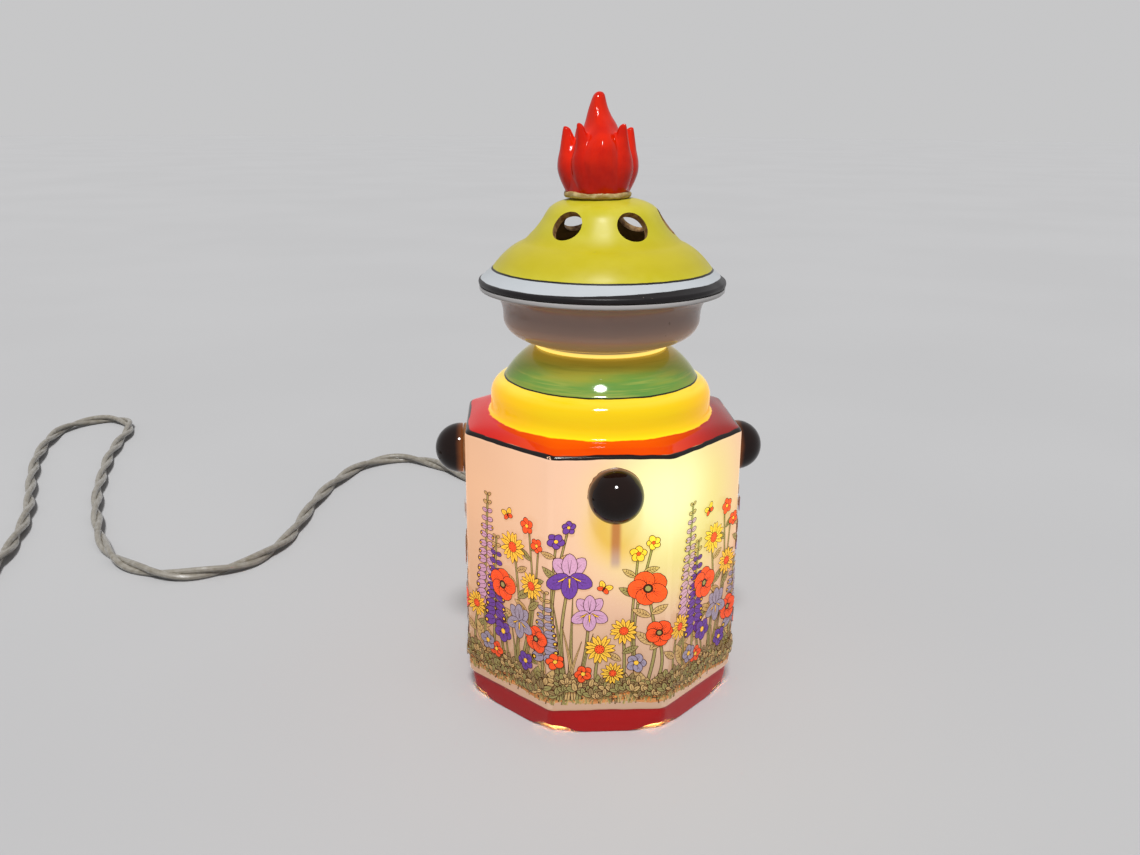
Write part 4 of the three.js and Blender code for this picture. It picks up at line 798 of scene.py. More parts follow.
class Shape:
    """A mesh under construction, in millimetres."""

    def __init__(self, started: bmesh.types.BMesh | None = None) -> None:
        """Starts empty, or goes on with a mesh."""
        self.bm = started or bmesh.new()

    def lathe(self, profile: Sequence[Point], segments: int = 96) -> "Shape":
        """Turns a profile about the Z axis.

        Args:
            profile: points of (radius, height).
            segments: how many faces round.

        Returns:
            The shape, for the next call.
        """
        points = [self.bm.verts.new((r, 0.0, z)) for r, z in profile]
        edges = [self.bm.edges.new(pair) for pair in zip(points, points[1:])]
        bmesh.ops.spin(
            self.bm, geom=points + edges, cent=(0, 0, 0), axis=(0, 0, 1), dvec=(0, 0, 0),
            angle=2 * math.pi, steps=segments, use_merge=True, use_duplicate=False,
        )
        return self.weld()

    def loft(self, rings: Sequence[Sequence[Vector]], ends: bool = True) -> "Shape":
        """Skins rings of points.

        Args:
            rings: the rings, with as many points each.
            ends: whether it gets caps, or else closes on to itself.

        Returns:
            The shape, for the next call.
        """
        count = len(rings[0])
        made = bmesh.ops.create_circle(self.bm, segments=count, radius=1.0, cap_ends=False)
        ring = made["verts"]
        edges = list({edge for vert in ring for edge in vert.link_edges})
        first = list(ring)
        self._put(ring, rings[0])
        for places in rings[1:]:
            grown = bmesh.ops.extrude_edge_only(self.bm, edges=edges)["geom"]
            edges = [e for e in grown if isinstance(e, bmesh.types.BMEdge)]
            ring = self._matching(ring, [v for v in grown if isinstance(v, bmesh.types.BMVert)])
            self._put(ring, places)
        if ends:
            self.bm.faces.new(first)
            self.bm.faces.new(ring)
        return self.weld()

    @staticmethod
    def _put(ring: Sequence[bmesh.types.BMVert], places: Sequence[Vector]) -> None:
        """Moves the points of a ring to their places."""
        for vert, place in zip(ring, places):
            vert.co = place

    @staticmethod
    def _matching(old: list, new: list) -> list:
        """The points that grew from a ring, in that ring's order.

        Args:
            old: the ring's points.
            new: the points that grew.

        Returns:
            The new ring.
        """
        fresh = set(new)
        partner = {}
        for vert in old:
            for edge in vert.link_edges:
                other = edge.other_vert(vert)
                if other in fresh:
                    partner[vert] = other
        return [partner[vert] for vert in old]

    def prism(self, outline: Sequence[Point], depth: float) -> "Shape":
        """A flat plate of that outline, from z = 0 up.

        Args:
            outline: points of (x, y).
            depth: its thickness.

        Returns:
            The shape, for the next call.
        """
        made = bmesh.ops.create_circle(self.bm, segments=len(outline), radius=1.0, cap_ends=True)
        self._put(made["verts"], [Vector((x, y, 0)) for x, y in outline])
        grown = bmesh.ops.extrude_face_region(self.bm, geom=self.bm.faces[:])
        tops = [v for v in grown["geom"] if isinstance(v, bmesh.types.BMVert)]
        bmesh.ops.translate(self.bm, verts=tops, vec=(0, 0, depth))
        return self.weld()

    def weld(self) -> "Shape":
        """Merges points that meet, and turns the faces outwards.

        Returns:
            The shape, for the next call.
        """
        bmesh.ops.remove_doubles(self.bm, verts=self.bm.verts, dist=1e-4)
        bmesh.ops.recalc_face_normals(self.bm, faces=self.bm.faces)
        return self

    def soften(self, width: float, angle: float = 40.0, segments: int = 2) -> "Shape":
        """Rounds sharp edges.

        Args:
            width: how wide the rounding is.
            angle: edges that turn by more are sharp.
            segments: how many faces it gets.

        Returns:
            The shape, for the next call.
        """
        limit = math.radians(angle)
        sharp = [e for e in self.bm.edges if e.is_manifold and e.calc_face_angle() > limit]
        bmesh.ops.bevel(
            self.bm, geom=sharp, offset=width, offset_type="OFFSET", segments=segments, profile=0.5,
            affect="EDGES", material=-1, clamp_overlap=True,
        )
        return self.weld()

    def move(self, matrix: Matrix) -> "Shape":
        """Places the shape."""
        self.bm.transform(matrix)
        return self

    def shift(self, change: Callable[[Vector], Vector]) -> "Shape":
        """Moves every point by what change says.

        Args:
            change: gives the way to go from a place.

        Returns:
            The shape, for the next call.
        """
        for vert in self.bm.verts:
            vert.co += change(vert.co)
        return self

    def made(self, name: str, *materials: bpy.types.Material) -> Piece:
        """Turns the shape into an object in metres.

        Args:
            name: the object's name.
            materials: its materials.

        Returns:
            The object.
        """
        mesh = bpy.data.meshes.new(name)
        self.bm.transform(Matrix.Scale(MM, 4))
        self.bm.to_mesh(mesh)
        self.bm.free()
        for material in materials:
            mesh.materials.append(material)
        return placed(name, mesh)


def placed(name: str, data: bpy.types.ID) -> Piece:
    """Makes an object of some data and puts it in the scene.

    Args:
        name: its name.
        data: its mesh, curve, camera or light.

    Returns:
        The object.
    """
    made = bpy.data.objects.new(name, data)
    bpy.context.scene.collection.objects.link(made)
    return made


def refinished(node: str, finish: Finish) -> Piece:
    """Gives a CAD node that stays in the scene its finish.

    Args:
        node: its name.
        finish: its finish.

    Returns:
        The object.
    """
    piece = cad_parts[node]
    piece.data.materials.clear()
    piece.data.materials.append(finish.material())
    return piece


def baked(piece: Piece) -> Piece:
    """Applies a piece's modifiers to its mesh.

    Args:
        piece: the object.

    Returns:
        The object.
    """
    graph = bpy.context.evaluated_depsgraph_get()
    mesh = bpy.data.meshes.new_from_object(piece.evaluated_get(graph))
    piece.modifiers.clear()
    piece.data = mesh
    return piece


def carved(piece: Piece, tools: Sequence[Piece]) -> Piece:
    """Cuts the tools out of a piece; the cut faces take the tools' material.

    Args:
        piece: the object.
        tools: the cutters, which are used up.

    Returns:
        The object.
    """
    for tool in tools:
        cut = piece.modifiers.new("cut", "BOOLEAN")
        cut.object = tool
        cut.operation = "DIFFERENCE"
        cut.solver = "EXACT"
        cut.material_mode = "TRANSFER"
    baked(piece)
    for tool in tools:
        bpy.data.objects.remove(tool)
    return piece


def wires(
    name: str, lines: Sequence[Sequence[Vector]], radius: float, finish: Finish, sides: int = 3
) -> Piece:
    """Round wires along lines, as one mesh object in metres.

    Args:
        name: its name.
        lines: the line of each wire, in millimetres.
        radius: the wires' radius.
        finish: its finish.
        sides: how finely they are rounded.

    Returns:
        The object.
    """
    curve = bpy.data.curves.new(name, "CURVE")
    curve.dimensions = "3D"
    curve.bevel_depth = radius * MM
    curve.bevel_resolution = sides
    curve.use_fill_caps = True
    for line in lines:
        spline = curve.splines.new("POLY")
        spline.points.add(len(line) - 1)
        for point, place in zip(spline.points, line):
            point.co = (*(place * MM), 1.0)
    source = placed(name, curve)
    graph = bpy.context.evaluated_depsgraph_get()
    mesh = bpy.data.meshes.new_from_object(source.evaluated_get(graph))
    bpy.data.objects.remove(source)
    mesh.materials.append(finish.material())
    return placed(name, mesh)


def about_z(degrees: float, size: int = 4) -> Matrix:
    """A turn about the upright axis."""
    return Matrix.Rotation(math.radians(degrees), size, "Z")


def all_round(count: int) -> list[float]:
    """Angles all the way round, in radians."""
    return [2 * math.pi * i / count for i in range(count)]


def through(points: Sequence[Vector], step: float = 2.5) -> list[Vector]:
    """Points along a smooth line.

    Args:
        points: where it goes through.
        step: how far apart the new points are.

    Returns:
        The new points.
    """
    ends = [2 * points[0] - points[1], *points, 2 * points[-1] - points[-2]]
    line = []
    for a, b, c, d in zip(ends, ends[1:], ends[2:], ends[3:]):
        t1 = (b - a).length ** 0.5
        t2 = t1 + (c - b).length ** 0.5
        t3 = t2 + (d - c).length ** 0.5
        count = max(2, round((c - b).length / step))
        for i in range(count):
            t = t1 + (t2 - t1) * i / count
            ab, bc, cd = a.lerp(b, t / t1), b.lerp(c, (t - t1) / (t2 - t1)), c.lerp(d, (t - t2) / (t3 - t2))
            abc, bcd = ab.lerp(bc, t / t2), bc.lerp(cd, (t - t1) / (t3 - t1))
            line.append(abc.lerp(bcd, (t - t1) / (t2 - t1)))
    return [*line, points[-1].copy()]


def graded(rows: Sequence[tuple], height: float) -> list[Vector]:
    """Sizes every 0.8 mm up a height, eased between rows of a share of it and the sizes there."""
    return through([Vector((share * height, *sizes)) for share, *sizes in rows], 0.8)


def twisted(line: Sequence[Vector], offset: float, pitch: float) -> list[list[Vector]]:
    """Two strands that wind round a line.

    Args:
        line: the line.
        offset: how far off it they run.
        pitch: the length of one turn.

    Returns:
        Both strands.
    """
    normal = Vector((0, 0, 1))
    run = 0.0
    strands: list[list[Vector]] = [[], []]
    for i, place in enumerate(line):
        ahead = line[min(i + 1, len(line) - 1)] - line[max(i - 1, 0)]
        along = ahead.normalized()
        normal = (normal - along * normal.dot(along)).normalized()
        side = along.cross(normal)
        run += (place - line[i - 1]).length if i else 0.0
        for k, strand in enumerate(strands):
            turn = 2 * math.pi * run / pitch + k * math.pi
            strand.append(place + offset * (math.cos(turn) * normal + math.sin(turn) * side))
    return strands


@dataclass
class Assembly:
    """A group of pieces that ride on one body."""

    body: Body

    def add(self, piece: Piece, *nodes: str, slot: str = "", angle: float = 35.0) -> Piece:
        """Shades a piece, and puts it on the body in place of CAD nodes.

        Args:
            piece: the object, in place.
            nodes: CAD nodes that it stands for.
            slot: not used.
            angle: edges that turn by more than this many degrees stay sharp.

        Returns:
            The piece.
        """
        piece.data.shade_smooth()
        piece.data.set_sharp_from_angle(angle=math.radians(angle))
        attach(piece, self.body.value)
        if nodes:
            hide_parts(*nodes)
        faces = sum(len(face.vertices) - 2 for face in piece.data.polygons)
        log.info("%s: %d triangles on %s", piece.name, faces, self.body.value)
        return piece

    def turned(
        self, name: str, profile: Sequence[Point], finish: "Finish | KnobGlaze", *nodes: str,
        slot: str = "", segments: int = 64, soften: float = 0.2, place: Matrix | None = None,
    ) -> Piece:
        """Adds a piece turned from a profile.

        Args:
            name: its name.
            profile: points of (radius, height).
            finish: its finish.
            nodes: CAD nodes that it stands for.
            slot: the record's material slot.
            segments: how many faces round.
            soften: how wide its edges are rounded.
            place: where it goes.

        Returns:
            The object.
        """
        shape = Shape().lathe(profile, segments)
        if soften:
            shape.soften(soften)
        if place:
            shape.move(place)
        return self.add(shape.made(name, finish.material()), *nodes, slot=slot)


def octagon_reach(degrees: float, apothem: float, rounding: float) -> float:
    """How far a rounded octagon reaches.

    Args:
        degrees: the direction, off the middle of a side.
        apothem: its reach in the middle of a side.
        rounding: the radius of its corners.

    Returns:
        The distance from the axis.
    """
    half = math.radians(SECTOR / 2)
    turn = math.radians(abs(degrees))
    if turn <= math.atan((apothem - rounding) * math.tan(half) / apothem):
        return apothem / math.cos(turn)
    centre = (apothem - rounding) / math.cos(half)
    aside = centre * math.sin(half - turn)
    return centre * math.cos(half - turn) + math.sqrt(rounding ** 2 - aside ** 2)


def on_wall(u: float, z: float, lift: float) -> Vector:
    """A place off the walls. Corners go in flat strips, so that two lifts never meet.

    Args:
        u: how far round the walls, from the middle of the front one.
        z: the height.
        lift: how far off the glaze.

    Returns:
        The place.
    """
    side = math.floor(u / FACE + 0.5)
    aside = u - side * FACE
    out = WALL + (WALL_TOP - WALL) * (z - WALL_FOOT) / (EDGE_Z - WALL_FOOT)
    flat = (out - CORNER) * math.tan(math.radians(SECTOR / 2))
    place = Vector((out + lift, aside * flat / WALL_FLAT, z))
    if abs(aside) > WALL_FLAT:
        share = CORNER_STRIPS * (abs(aside) - WALL_FLAT) / (0.5 * FACE - WALL_FLAT)
        strip = min(CORNER_STRIPS - 1, int(share))
        turns = [math.radians(SECTOR / 2 * i / CORNER_STRIPS) for i in (strip, strip + 1)]
        low, high = (Vector((math.cos(t), math.sin(t))) * (CORNER + lift) for t in turns)
        round_corner = low.lerp(high, share - strip)
        place = Vector((out - CORNER + round_corner.x, math.copysign(flat + round_corner.y, aside), z))
    return about_z(-90 + side * SECTOR, 3) @ place


class Tower(Assembly):
    """The octagonal porcelain body with its knobs."""

    HALF = (0.0, 4.5, 9.0, 13.0, 16.0, 18.4, 20.4, 21.1, 21.8)

    def build(self) -> None:
        """Makes the porcelain and the knobs."""
        glaze = TowerGlaze().material()
        shell = Shape().loft(self._rings(), ends=False).made("tower_porcelain", glaze)
        hole = Shape().lathe(Line(0, -8).to((HOLE_R, -8), (HOLE_R, 8), (0, 8)).points, 32)
        hole.move(Matrix.Translation((HOLE_X, WALL, HOLE_Z)) @ Matrix.Rotation(math.pi / 2, 4, "X"))
        carved(shell, [hole.made("hole", BARE_CLAY.material())])
        self.add(shell, "body_shell", slot="porcelain_body", angle=42.0)
        for side, degrees, aside in KNOB_SIDES:
            self._knob(side, degrees, aside)

    def _ring(self, reach: float, z: float, round_share: float, corner: float = CORNER) -> list[Vector]:
        """One ring of the wall.

        Args:
            reach: how far it reaches.
            z: the height.
            round_share: 0 for an octagon, 1 for a circle.
            corner: the radius of its corners.

        Returns:
            The points.
        """
        ring = []
        angles = [-d for d in reversed(self.HALF[1:])] + list(self.HALF)
        for side in range(SIDES):
            for degrees in [-SECTOR / 2, *angles]:
                flat = octagon_reach(degrees, reach, corner)
                distance = flat + (reach - flat) * round_share
                turn = math.radians(side * SECTOR + degrees)
                raised = self._arch(degrees, distance)
                height = raised + z * (1 - raised / FOOT_TOP) if z < FOOT_TOP else z
                ring.append(Vector((distance * math.cos(turn), distance * math.sin(turn), height)))
        return ring

    @staticmethod
    def _arch(degrees: float, distance: float) -> float:
        """Height of the light slots over the table.

        Args:
            degrees: the direction, off the middle of a side.
            distance: the distance from the axis.

        Returns:
            The height, 0 beside a slot.
        """
        aside = distance * math.sin(math.radians(SECTOR / 2 - abs(degrees)))
        if abs(aside) >= SLOT_RADIUS:
            return 0.0
        return max(0.0, math.sqrt(SLOT_RADIUS ** 2 - aside ** 2) - SLOT_RADIUS + SLOT_HEIGHT)

    def _rings(self) -> list[list[Vector]]:
        """All rings, up the outside, over the neck and down the inside.

        Returns:
            The rings, the first one again at the end.
        """
        foot = WALL - 1.6
        outside = Line(foot - 0.6, 0).curve((foot - 0.1, 0), (foot, 0.9), steps=4)
        outside.to((foot + 0.3, 4.4)).curve((foot + 0.5, 6.8), (foot + 0.6, FOOT_TOP), steps=3)
        outside.curve((foot + 0.8, 10.2), (WALL, WALL_FOOT), steps=6)
        outside.to((WALL_TOP, 103.4))
        outside.curve((WALL_TOP, 105.0), (WALL_TOP - 1.0, EDGE_Z), steps=6)
        rings = [self._ring(r, z, 0.0) for r, z in outside.points]
        for i in range(1, 9):
            share = i / 9
            reach = (WALL_TOP - 1.0) + (COLLAR_R + 1.6 - WALL_TOP + 1.0) * share
            height = EDGE_Z + (COLLAR_Z - EDGE_Z) * share + 0.35 * math.sin(math.pi * share)
            rings.append(self._ring(reach, height, share, CORNER + 20 * share))
        neck = Line(COLLAR_R + 1.2, COLLAR_Z).curve((COLLAR_R + 0.1, 108.4), (COLLAR_R, 109.9), steps=5)
        neck.to((COLLAR_R, 112.0), (COLLAR_R, 114.1))
        neck.curve((COLLAR_R, 119.1), (35.5, DOME_Z), steps=10)
        neck.curve((31.6, 128.0), (NECK_R, NECK_Z), steps=12)
        neck.to((MOUTH_R + 0.5, NECK_Z), (MOUTH_R, NECK_Z - 0.5), (MOUTH_R, 129.5))
        neck.curve((27.0, 127.0), (33.0, 118.5), steps=6).curve((36.7, 116.0), (36.9, 112.0), steps=4)
        neck.to((36.9, 104.4))
        rings += [self._ring(r, z, 1.0) for r, z in neck.points]
        inner = WALL - WALL_THICKNESS
        inside = Line(inner - 0.2, 102.0).to((inner, 50.0), (inner, WALL_FOOT), (44.2, 6.0), (44.0, 0.6))
        rings += [self._ring(r, z, 0.0, 1.6) for r, z in inside.to((44.6, 0.0)).points]
        return [*rings, rings[0]]

    def _knob(self, side: str, degrees: float, aside: float) -> None:
        """Makes a ball and the cement behind it.

        Args:
            side: the wall's name.
            degrees: the way the wall faces.
            aside: how far it is off the wall's middle.
        """
        flat = math.asin(KNOB_FLAT / KNOB_R)
        turns = [-flat + (math.pi / 2 + flat) * i / 24 for i in range(25)]
        ball = [(0.0, -KNOB_FLAT)] + [(KNOB_R * math.cos(t), KNOB_R * math.sin(t)) for t in turns]
        ball[-1] = (0.0, KNOB_R)
        turn = about_z(degrees)
        out = Matrix.Rotation(math.pi / 2, 4, "Y")
        ball_place = turn @ Matrix.Translation((WALL + KNOB_OUT, aside, KNOB_Z)) @ out
        self.turned(
            f"knob_{side}_ball", ball, KnobGlaze(), f"knob_{side}", slot="glaze_dark", soften=0.15,
            place=ball_place,
        )
        pad = Shape().lathe([(0, 0), (9.2, 0), (9.35, 0.35), (9.0, 0.8), (8.6, 0.95), (0, 0.95)], 48)
        pad.shift(lambda p: p.normalized() * 0.3 * noise.noise(p * 0.9) if p.x or p.y else Vector())
        pad.move(turn @ Matrix.Translation((WALL + 0.25, aside, KNOB_Z)) @ out)
        cement = pad.made(f"knob_{side}_cement", KNOB_CEMENT.material())
        self.add(cement, f"knob_cement_{side}", slot="cement_brown")


class Ink(Enum):
    """The transfer's inks."""

    LINE = (0.050, 0.014, 0.007)
    VIOLET = (0.15, 0.075, 0.52)
    LILAC = (0.58, 0.44, 0.80)
    GREY_BLUE = (0.34, 0.38, 0.60)
    YELLOW = (1.0, 0.76, 0.09)
    CORAL = (0.96, 0.13, 0.035)
    LEAF = (0.60, 0.52, 0.25)
    SAGE = (0.34, 0.38, 0.16)
    SHADE = (0.13, 0.095, 0.04)
    GRASS = (0.30, 0.27, 0.13)
    OCHRE = (0.85, 0.38, 0.09)
    EARTH = (0.66, 0.37, 0.15)


class Level(Enum):
    """How far off the glaze each layer of the drawing lies, in millimetres."""

    GROUND = 0.05
    STEM = 0.14
    LEAF = 0.22
    BLOOM = 0.32
    TOP = 0.43


class Bloom(Enum):
    """The kinds of flower."""

    POPPY = "poppy"
    DAISY = "daisy"
    IRIS = "iris"
    PINK = "pink"


@dataclass
class Transfer(Assembly):
    """The printed garden border: drawn flat, along and up the walls, and then laid on them.

    Args:
        dice: draws every random number of the border.
        lift: how far off the glaze the next area lies.
    """

    dice: random.Random = field(default_factory=lambda: random.Random(11))
    lift: float = Level.GROUND.value

    STEP = 0.001
    EDGE = 0.22
    LEFT = -0.5 * FACE
    RIGHT = 1.5 * FACE
    SPAN = RIGHT - LEFT
    # Flowers: kind, ink, root, bend and place of the bloom, and its size
    FLOWERS = (
        (Bloom.IRIS, Ink.VIOLET, (-14.5, 16), (-16.5, 40), (-13.8, 63), 8.6),
        (Bloom.IRIS, Ink.LILAC, (-11.5, 16), (-8.0, 34), (-6.8, 49), 7.0),
        (Bloom.POPPY, Ink.CORAL, (13.0, 16), (16.4, 36), (13.2, 58), 7.0),
        (Bloom.POPPY, Ink.CORAL, (15.5, 16), (19.0, 28), (17.6, 41), 5.4),
        (Bloom.PINK, Ink.YELLOW, (10.5, 16), (8.0, 42), (9.6, 71), 3.2),
        (Bloom.PINK, Ink.YELLOW, (10.5, 16), (9.0, 44), (14.6, 75), 2.8),
        (Bloom.DAISY, Ink.YELLOW, (-3.0, 16), (-4.4, 24), (-3.2, 35), 5.6),
        (Bloom.DAISY, Ink.YELLOW, (3.0, 16), (5.4, 24), (5.2, 42), 5.2),
        (Bloom.DAISY, Ink.YELLOW, (1.0, 16), (1.4, 20), (1.6, 25.5), 4.4),
        (Bloom.PINK, Ink.GREY_BLUE, (8.0, 15), (9.5, 22), (9.8, 29.5), 4.0),
        (Bloom.PINK, Ink.CORAL, (-7.0, 15), (-8.4, 19), (-8.8, 25.5), 3.6),
        (Bloom.PINK, Ink.CORAL, (-18.2, 15), (-19.0, 22), (-18.6, 30.5), 3.4),
        (Bloom.PINK, Ink.VIOLET, (-16.4, 16), (-20.0, 50), (-18.4, 76), 3.2),
        (Bloom.PINK, Ink.VIOLET, (-16.4, 16), (-19.6, 52), (-14.2, 81), 2.7),
        (Bloom.DAISY, Ink.YELLOW, (44.0, 16), (47.5, 44), (45.2, 69), 6.2),
        (Bloom.DAISY, Ink.YELLOW, (46.5, 16), (51.5, 38), (54.2, 57), 5.4),
        (Bloom.DAISY, Ink.YELLOW, (25.6, 16), (24.2, 28), (26.4, 41), 5.0),
        (Bloom.POPPY, Ink.CORAL, (41.0, 16), (38.0, 36), (40.2, 53), 6.4),
        (Bloom.POPPY, Ink.CORAL, (53.0, 16), (57.4, 26), (56.4, 37.5), 5.4),
        (Bloom.IRIS, Ink.GREY_BLUE, (48.0, 16), (46.6, 28), (48.4, 41.5), 6.8),
        (Bloom.PINK, Ink.VIOLET, (43.0, 15), (41.8, 24), (40.2, 34.5), 4.6),
        (Bloom.PINK, Ink.VIOLET, (51.0, 15), (50.6, 20), (51.4, 27), 4.0),
        (Bloom.PINK, Ink.CORAL, (38.4, 15), (37.2, 20), (36.6, 26), 3.6),
        (Bloom.PINK, Ink.CORAL, (49.5, 16), (54.0, 52), (52.4, 79), 3.2),
        (Bloom.PINK, Ink.CORAL, (49.5, 16), (55.0, 52), (57.0, 73), 3.0),
        (Bloom.PINK, Ink.GREY_BLUE, (31.5, 15), (32.6, 20), (32.2, 28), 4.0),
    )
    # Spires: ink, root, tip
    SPIRES = (
        (Ink.LILAC, (29.6, 16), (32.4, 85)),
        (Ink.VIOLET, (35.0, 16), (36.6, 70)),
        (Ink.GREY_BLUE, (59.6, 16), (60.0, 56)),
    )
    # Sword leaves: root and tip
    SWORDS = (
        ((-15.5, 15), (-19.4, 53)), ((-13.4, 15), (-12.6, 56)), ((-12.0, 15), (-16.2, 44)),
        ((-10.4, 15), (-5.4, 41)), ((-14.4, 15), (-9.4, 38)), ((46.5, 15), (43.8, 39)),
        ((49.6, 15), (52.2, 36)), ((48.4, 15), (47.4, 33)), ((-17.0, 15), (-20.2, 38)),
    )
    # Broad leaves: root, the way it points and its length
    SHEETS = (
        (14, 17, 155, 9.5), (14, 17, 120, 11), (15, 17, 62, 11), (16, 17, 25, 9), (14.5, 34, 40, 8),
        (15.6, 36, 145, 8.5), (14.6, 47, 150, 7.5), (14.6, 48, 30, 7), (9.2, 52, 35, 7),
        (9.2, 55, 150, 7), (9.2, 62, 140, 6), (11.4, 64, 15, 6), (-3.5, 17, 140, 8.5), (-3, 17, 98, 8),
        (3.4, 17, 72, 9), (4, 17, 38, 8.5), (4.6, 30, 150, 6.5), (4.7, 33, 25, 6.5), (-18, 17, 95, 9),
        (-18, 62, 150, 7), (-18.6, 66, 50, 6.5), (-18.6, 70, 165, 6), (-19.2, 58, 35, 6.5),
        (26, 17, 140, 9), (25.6, 17, 100, 9.5), (25, 29, 150, 7), (25, 31, 40, 7), (29.8, 17, 70, 12),
        (30, 24, 118, 11), (30.2, 32, 62, 11), (30.6, 38, 128, 10), (35, 17, 60, 11),
        (35, 25, 125, 9.5), (35.4, 31, 50, 9), (39.6, 32, 135, 8), (39.4, 38, 40, 8),
        (39.6, 44, 140, 6.5), (43, 17, 105, 9), (46.6, 40, 150, 8), (46.8, 50, 30, 8),
        (46.6, 54, 145, 7.5), (46.4, 60, 25, 6), (51.6, 46, 160, 7), (52, 47, 35, 7), (54, 17, 62, 11),
        (55, 17, 28, 8.5), (53, 17, 118, 10), (56.4, 27, 150, 7), (53.6, 58, 20, 6.5),
        (53.6, 66, 150, 6.5), (53.4, 70, 40, 6), (60, 18, 72, 10), (60, 24, 118, 9), (60, 31, 55, 8),
    )

    def build(self) -> None:
        """Draws one repeat, two walls wide, and lays it on the walls four times."""
        stamp = self._stamp()
        sheet = bmesh.new()
        sheet.verts.layers.float_color.new(PrintInk.LAYER)
        for side in range(0, SIDES, 2):
            self._lay(sheet, stamp, side)
        bpy.data.meshes.remove(stamp)
        film = Shape(sheet).made("flower_transfer", PrintInk().material())
        self.add(film, slot="porcelain_body")

    def _stamp(self) -> bpy.types.Mesh:
        """Draws the repeat flat, as (along, lift, height), and cuts it where the walls turn.

        Returns:
            The flat drawing.
        """
        self.bm = bmesh.new()
        self.ink = self.bm.verts.layers.float_color.new(PrintInk.LAYER)
        self._garden()
        turning = 0.5 * FACE - WALL_FLAT
        for corner in (self.LEFT, 0.5 * FACE, self.RIGHT):
            for cut in range(-CORNER_STRIPS, CORNER_STRIPS + 1):
                bmesh.ops.bisect_plane(
                    self.bm, geom=self.bm.verts[:] + self.bm.edges[:] + self.bm.faces[:],
                    plane_co=(corner + turning * cut / CORNER_STRIPS, 0, 0), plane_no=(1, 0, 0),
                )
        stamp = bpy.data.meshes.new("stamp")
        self.bm.to_mesh(stamp)
        self.bm.free()
        return stamp

    @staticmethod
    def _lay(sheet: bmesh.types.BMesh, stamp: bpy.types.Mesh, side: int) -> None:
        """Lays the repeat on the walls, from the middle of one of them.

        Args:
            sheet: the mesh that grows.
            stamp: the flat drawing.
            side: the wall's number.
        """
        old = len(sheet.verts), len(sheet.faces)
        sheet.from_mesh(stamp)
        sheet.verts.ensure_lookup_table()
        sheet.faces.ensure_lookup_table()
        for vert in sheet.verts[old[0]:]:
            vert.co = on_wall(side * FACE + vert.co.x, vert.co.z, vert.co.y)
        for face in sheet.faces[old[1]:]:
            face.normal_update()
            if face.normal.dot(face.calc_center_median()) < 0:
                face.normal_flip()

    def _garden(self) -> None:
        """Draws the whole repeat, from the ground up to the flowers that lie on top."""
        self.lift = Level.GROUND.value
        self._grass(18.0, 5.5, 60)
        self._ground()
        self._grass(13.8, 3.6, 70)
        self.lift = Level.STEM.value
        for kind, _, root, bend, place, _ in self.FLOWERS:
            self._stem((root, bend, place), 0.75 if kind is Bloom.PINK else 1.0)
        self.lift = Level.LEAF.value
        for x, z, turn, length in self.SHEETS:
            ink = self.dice.choice((Ink.LEAF, Ink.LEAF, Ink.SAGE))
            self._leaf((x, z), turn + self.dice.uniform(-8, 8), length, ink)
        for root, tip in self.SWORDS:
            self._sword(root, tip)
        self._tufts()
        self.lift = Level.BLOOM.value
        for ink, root, tip in self.SPIRES:
            self._spire(ink, root, tip)
        for kind, ink, _, _, place, size in self.FLOWERS:
            self._bloom(kind, ink, place, size)
        self.lift = Level.TOP.value
        self._butterfly((-2.0, 58.0), 60)
        self._butterfly((42.5, 80.0), 115)

    def _area(self, outline: Sequence[Point], ink: Ink, over: bool = True) -> None:
        """One flat area of ink.

        Args:
            outline: points of (along, height).
            ink: its ink.
            over: whether it lies over the area before it.
        """
        self.lift += self.STEP if over else 0.0
        verts = [self.bm.verts.new((x, self.lift, z)) for x, z in outline]
        for vert in verts:
            vert[self.ink] = (*ink.value, 1.0)
        self.bm.faces.new(verts)

    @staticmethod
    def _turned(at: Point, turn: float, outline: Sequence[Point]) -> list[Point]:
        """An outline turned about the origin and moved to a point."""
        ahead, aside = math.cos(math.radians(turn)), math.sin(math.radians(turn))
        return [(at[0] + x * ahead - y * aside, at[1] + x * aside + y * ahead) for x, y in outline]

    def _blade(self, at: Point, turn: float, length: float, width: float, blunt: float) -> list[Point]:
        """Outline of a leaf or petal.

        Args:
            at: its place.
            turn: the way it points, in degrees.
            length: its length.
            width: its width.
            blunt: 1 for a pointed end, less for a round one.

        Returns:
            The outline.
        """
        across = []
        for share in (0.0, 0.06, 0.16, 0.32, 0.5, 0.68, 0.82, 0.93, 1.0):
            across.append((share * length, 0.5 * width * math.sin(math.pi * share ** 0.9) ** blunt))
        outline = [*across, *((s, -w) for s, w in reversed(across[1:-1]))]
        return self._turned(at, turn, outline)

    def _stroke(
        self, points: Sequence[Point], width: float, ink: Ink, end: float = 0.35, over: bool = True
    ) -> None:
        """A brushed line that narrows.

        Args:
            points: where it goes through.
            width: its width at the start.
            ink: its ink.
            end: the share of it that is left at the end.
            over: whether it lies over the area before it.
        """
        line = through([Vector((x, z, 0)) for x, z in points], 2.0)
        left, right = [], []
        for i, place in enumerate(line):
            ahead = (line[min(i + 1, len(line) - 1)] - line[max(i - 1, 0)]).normalized()
            half = 0.5 * width * (1 - (1 - end) * i / (len(line) - 1))
            left.append((place.x - ahead.y * half, place.y + ahead.x * half))
            right.append((place.x + ahead.y * half, place.y - ahead.x * half))
        self._area([*left, *reversed(right)], ink, over)

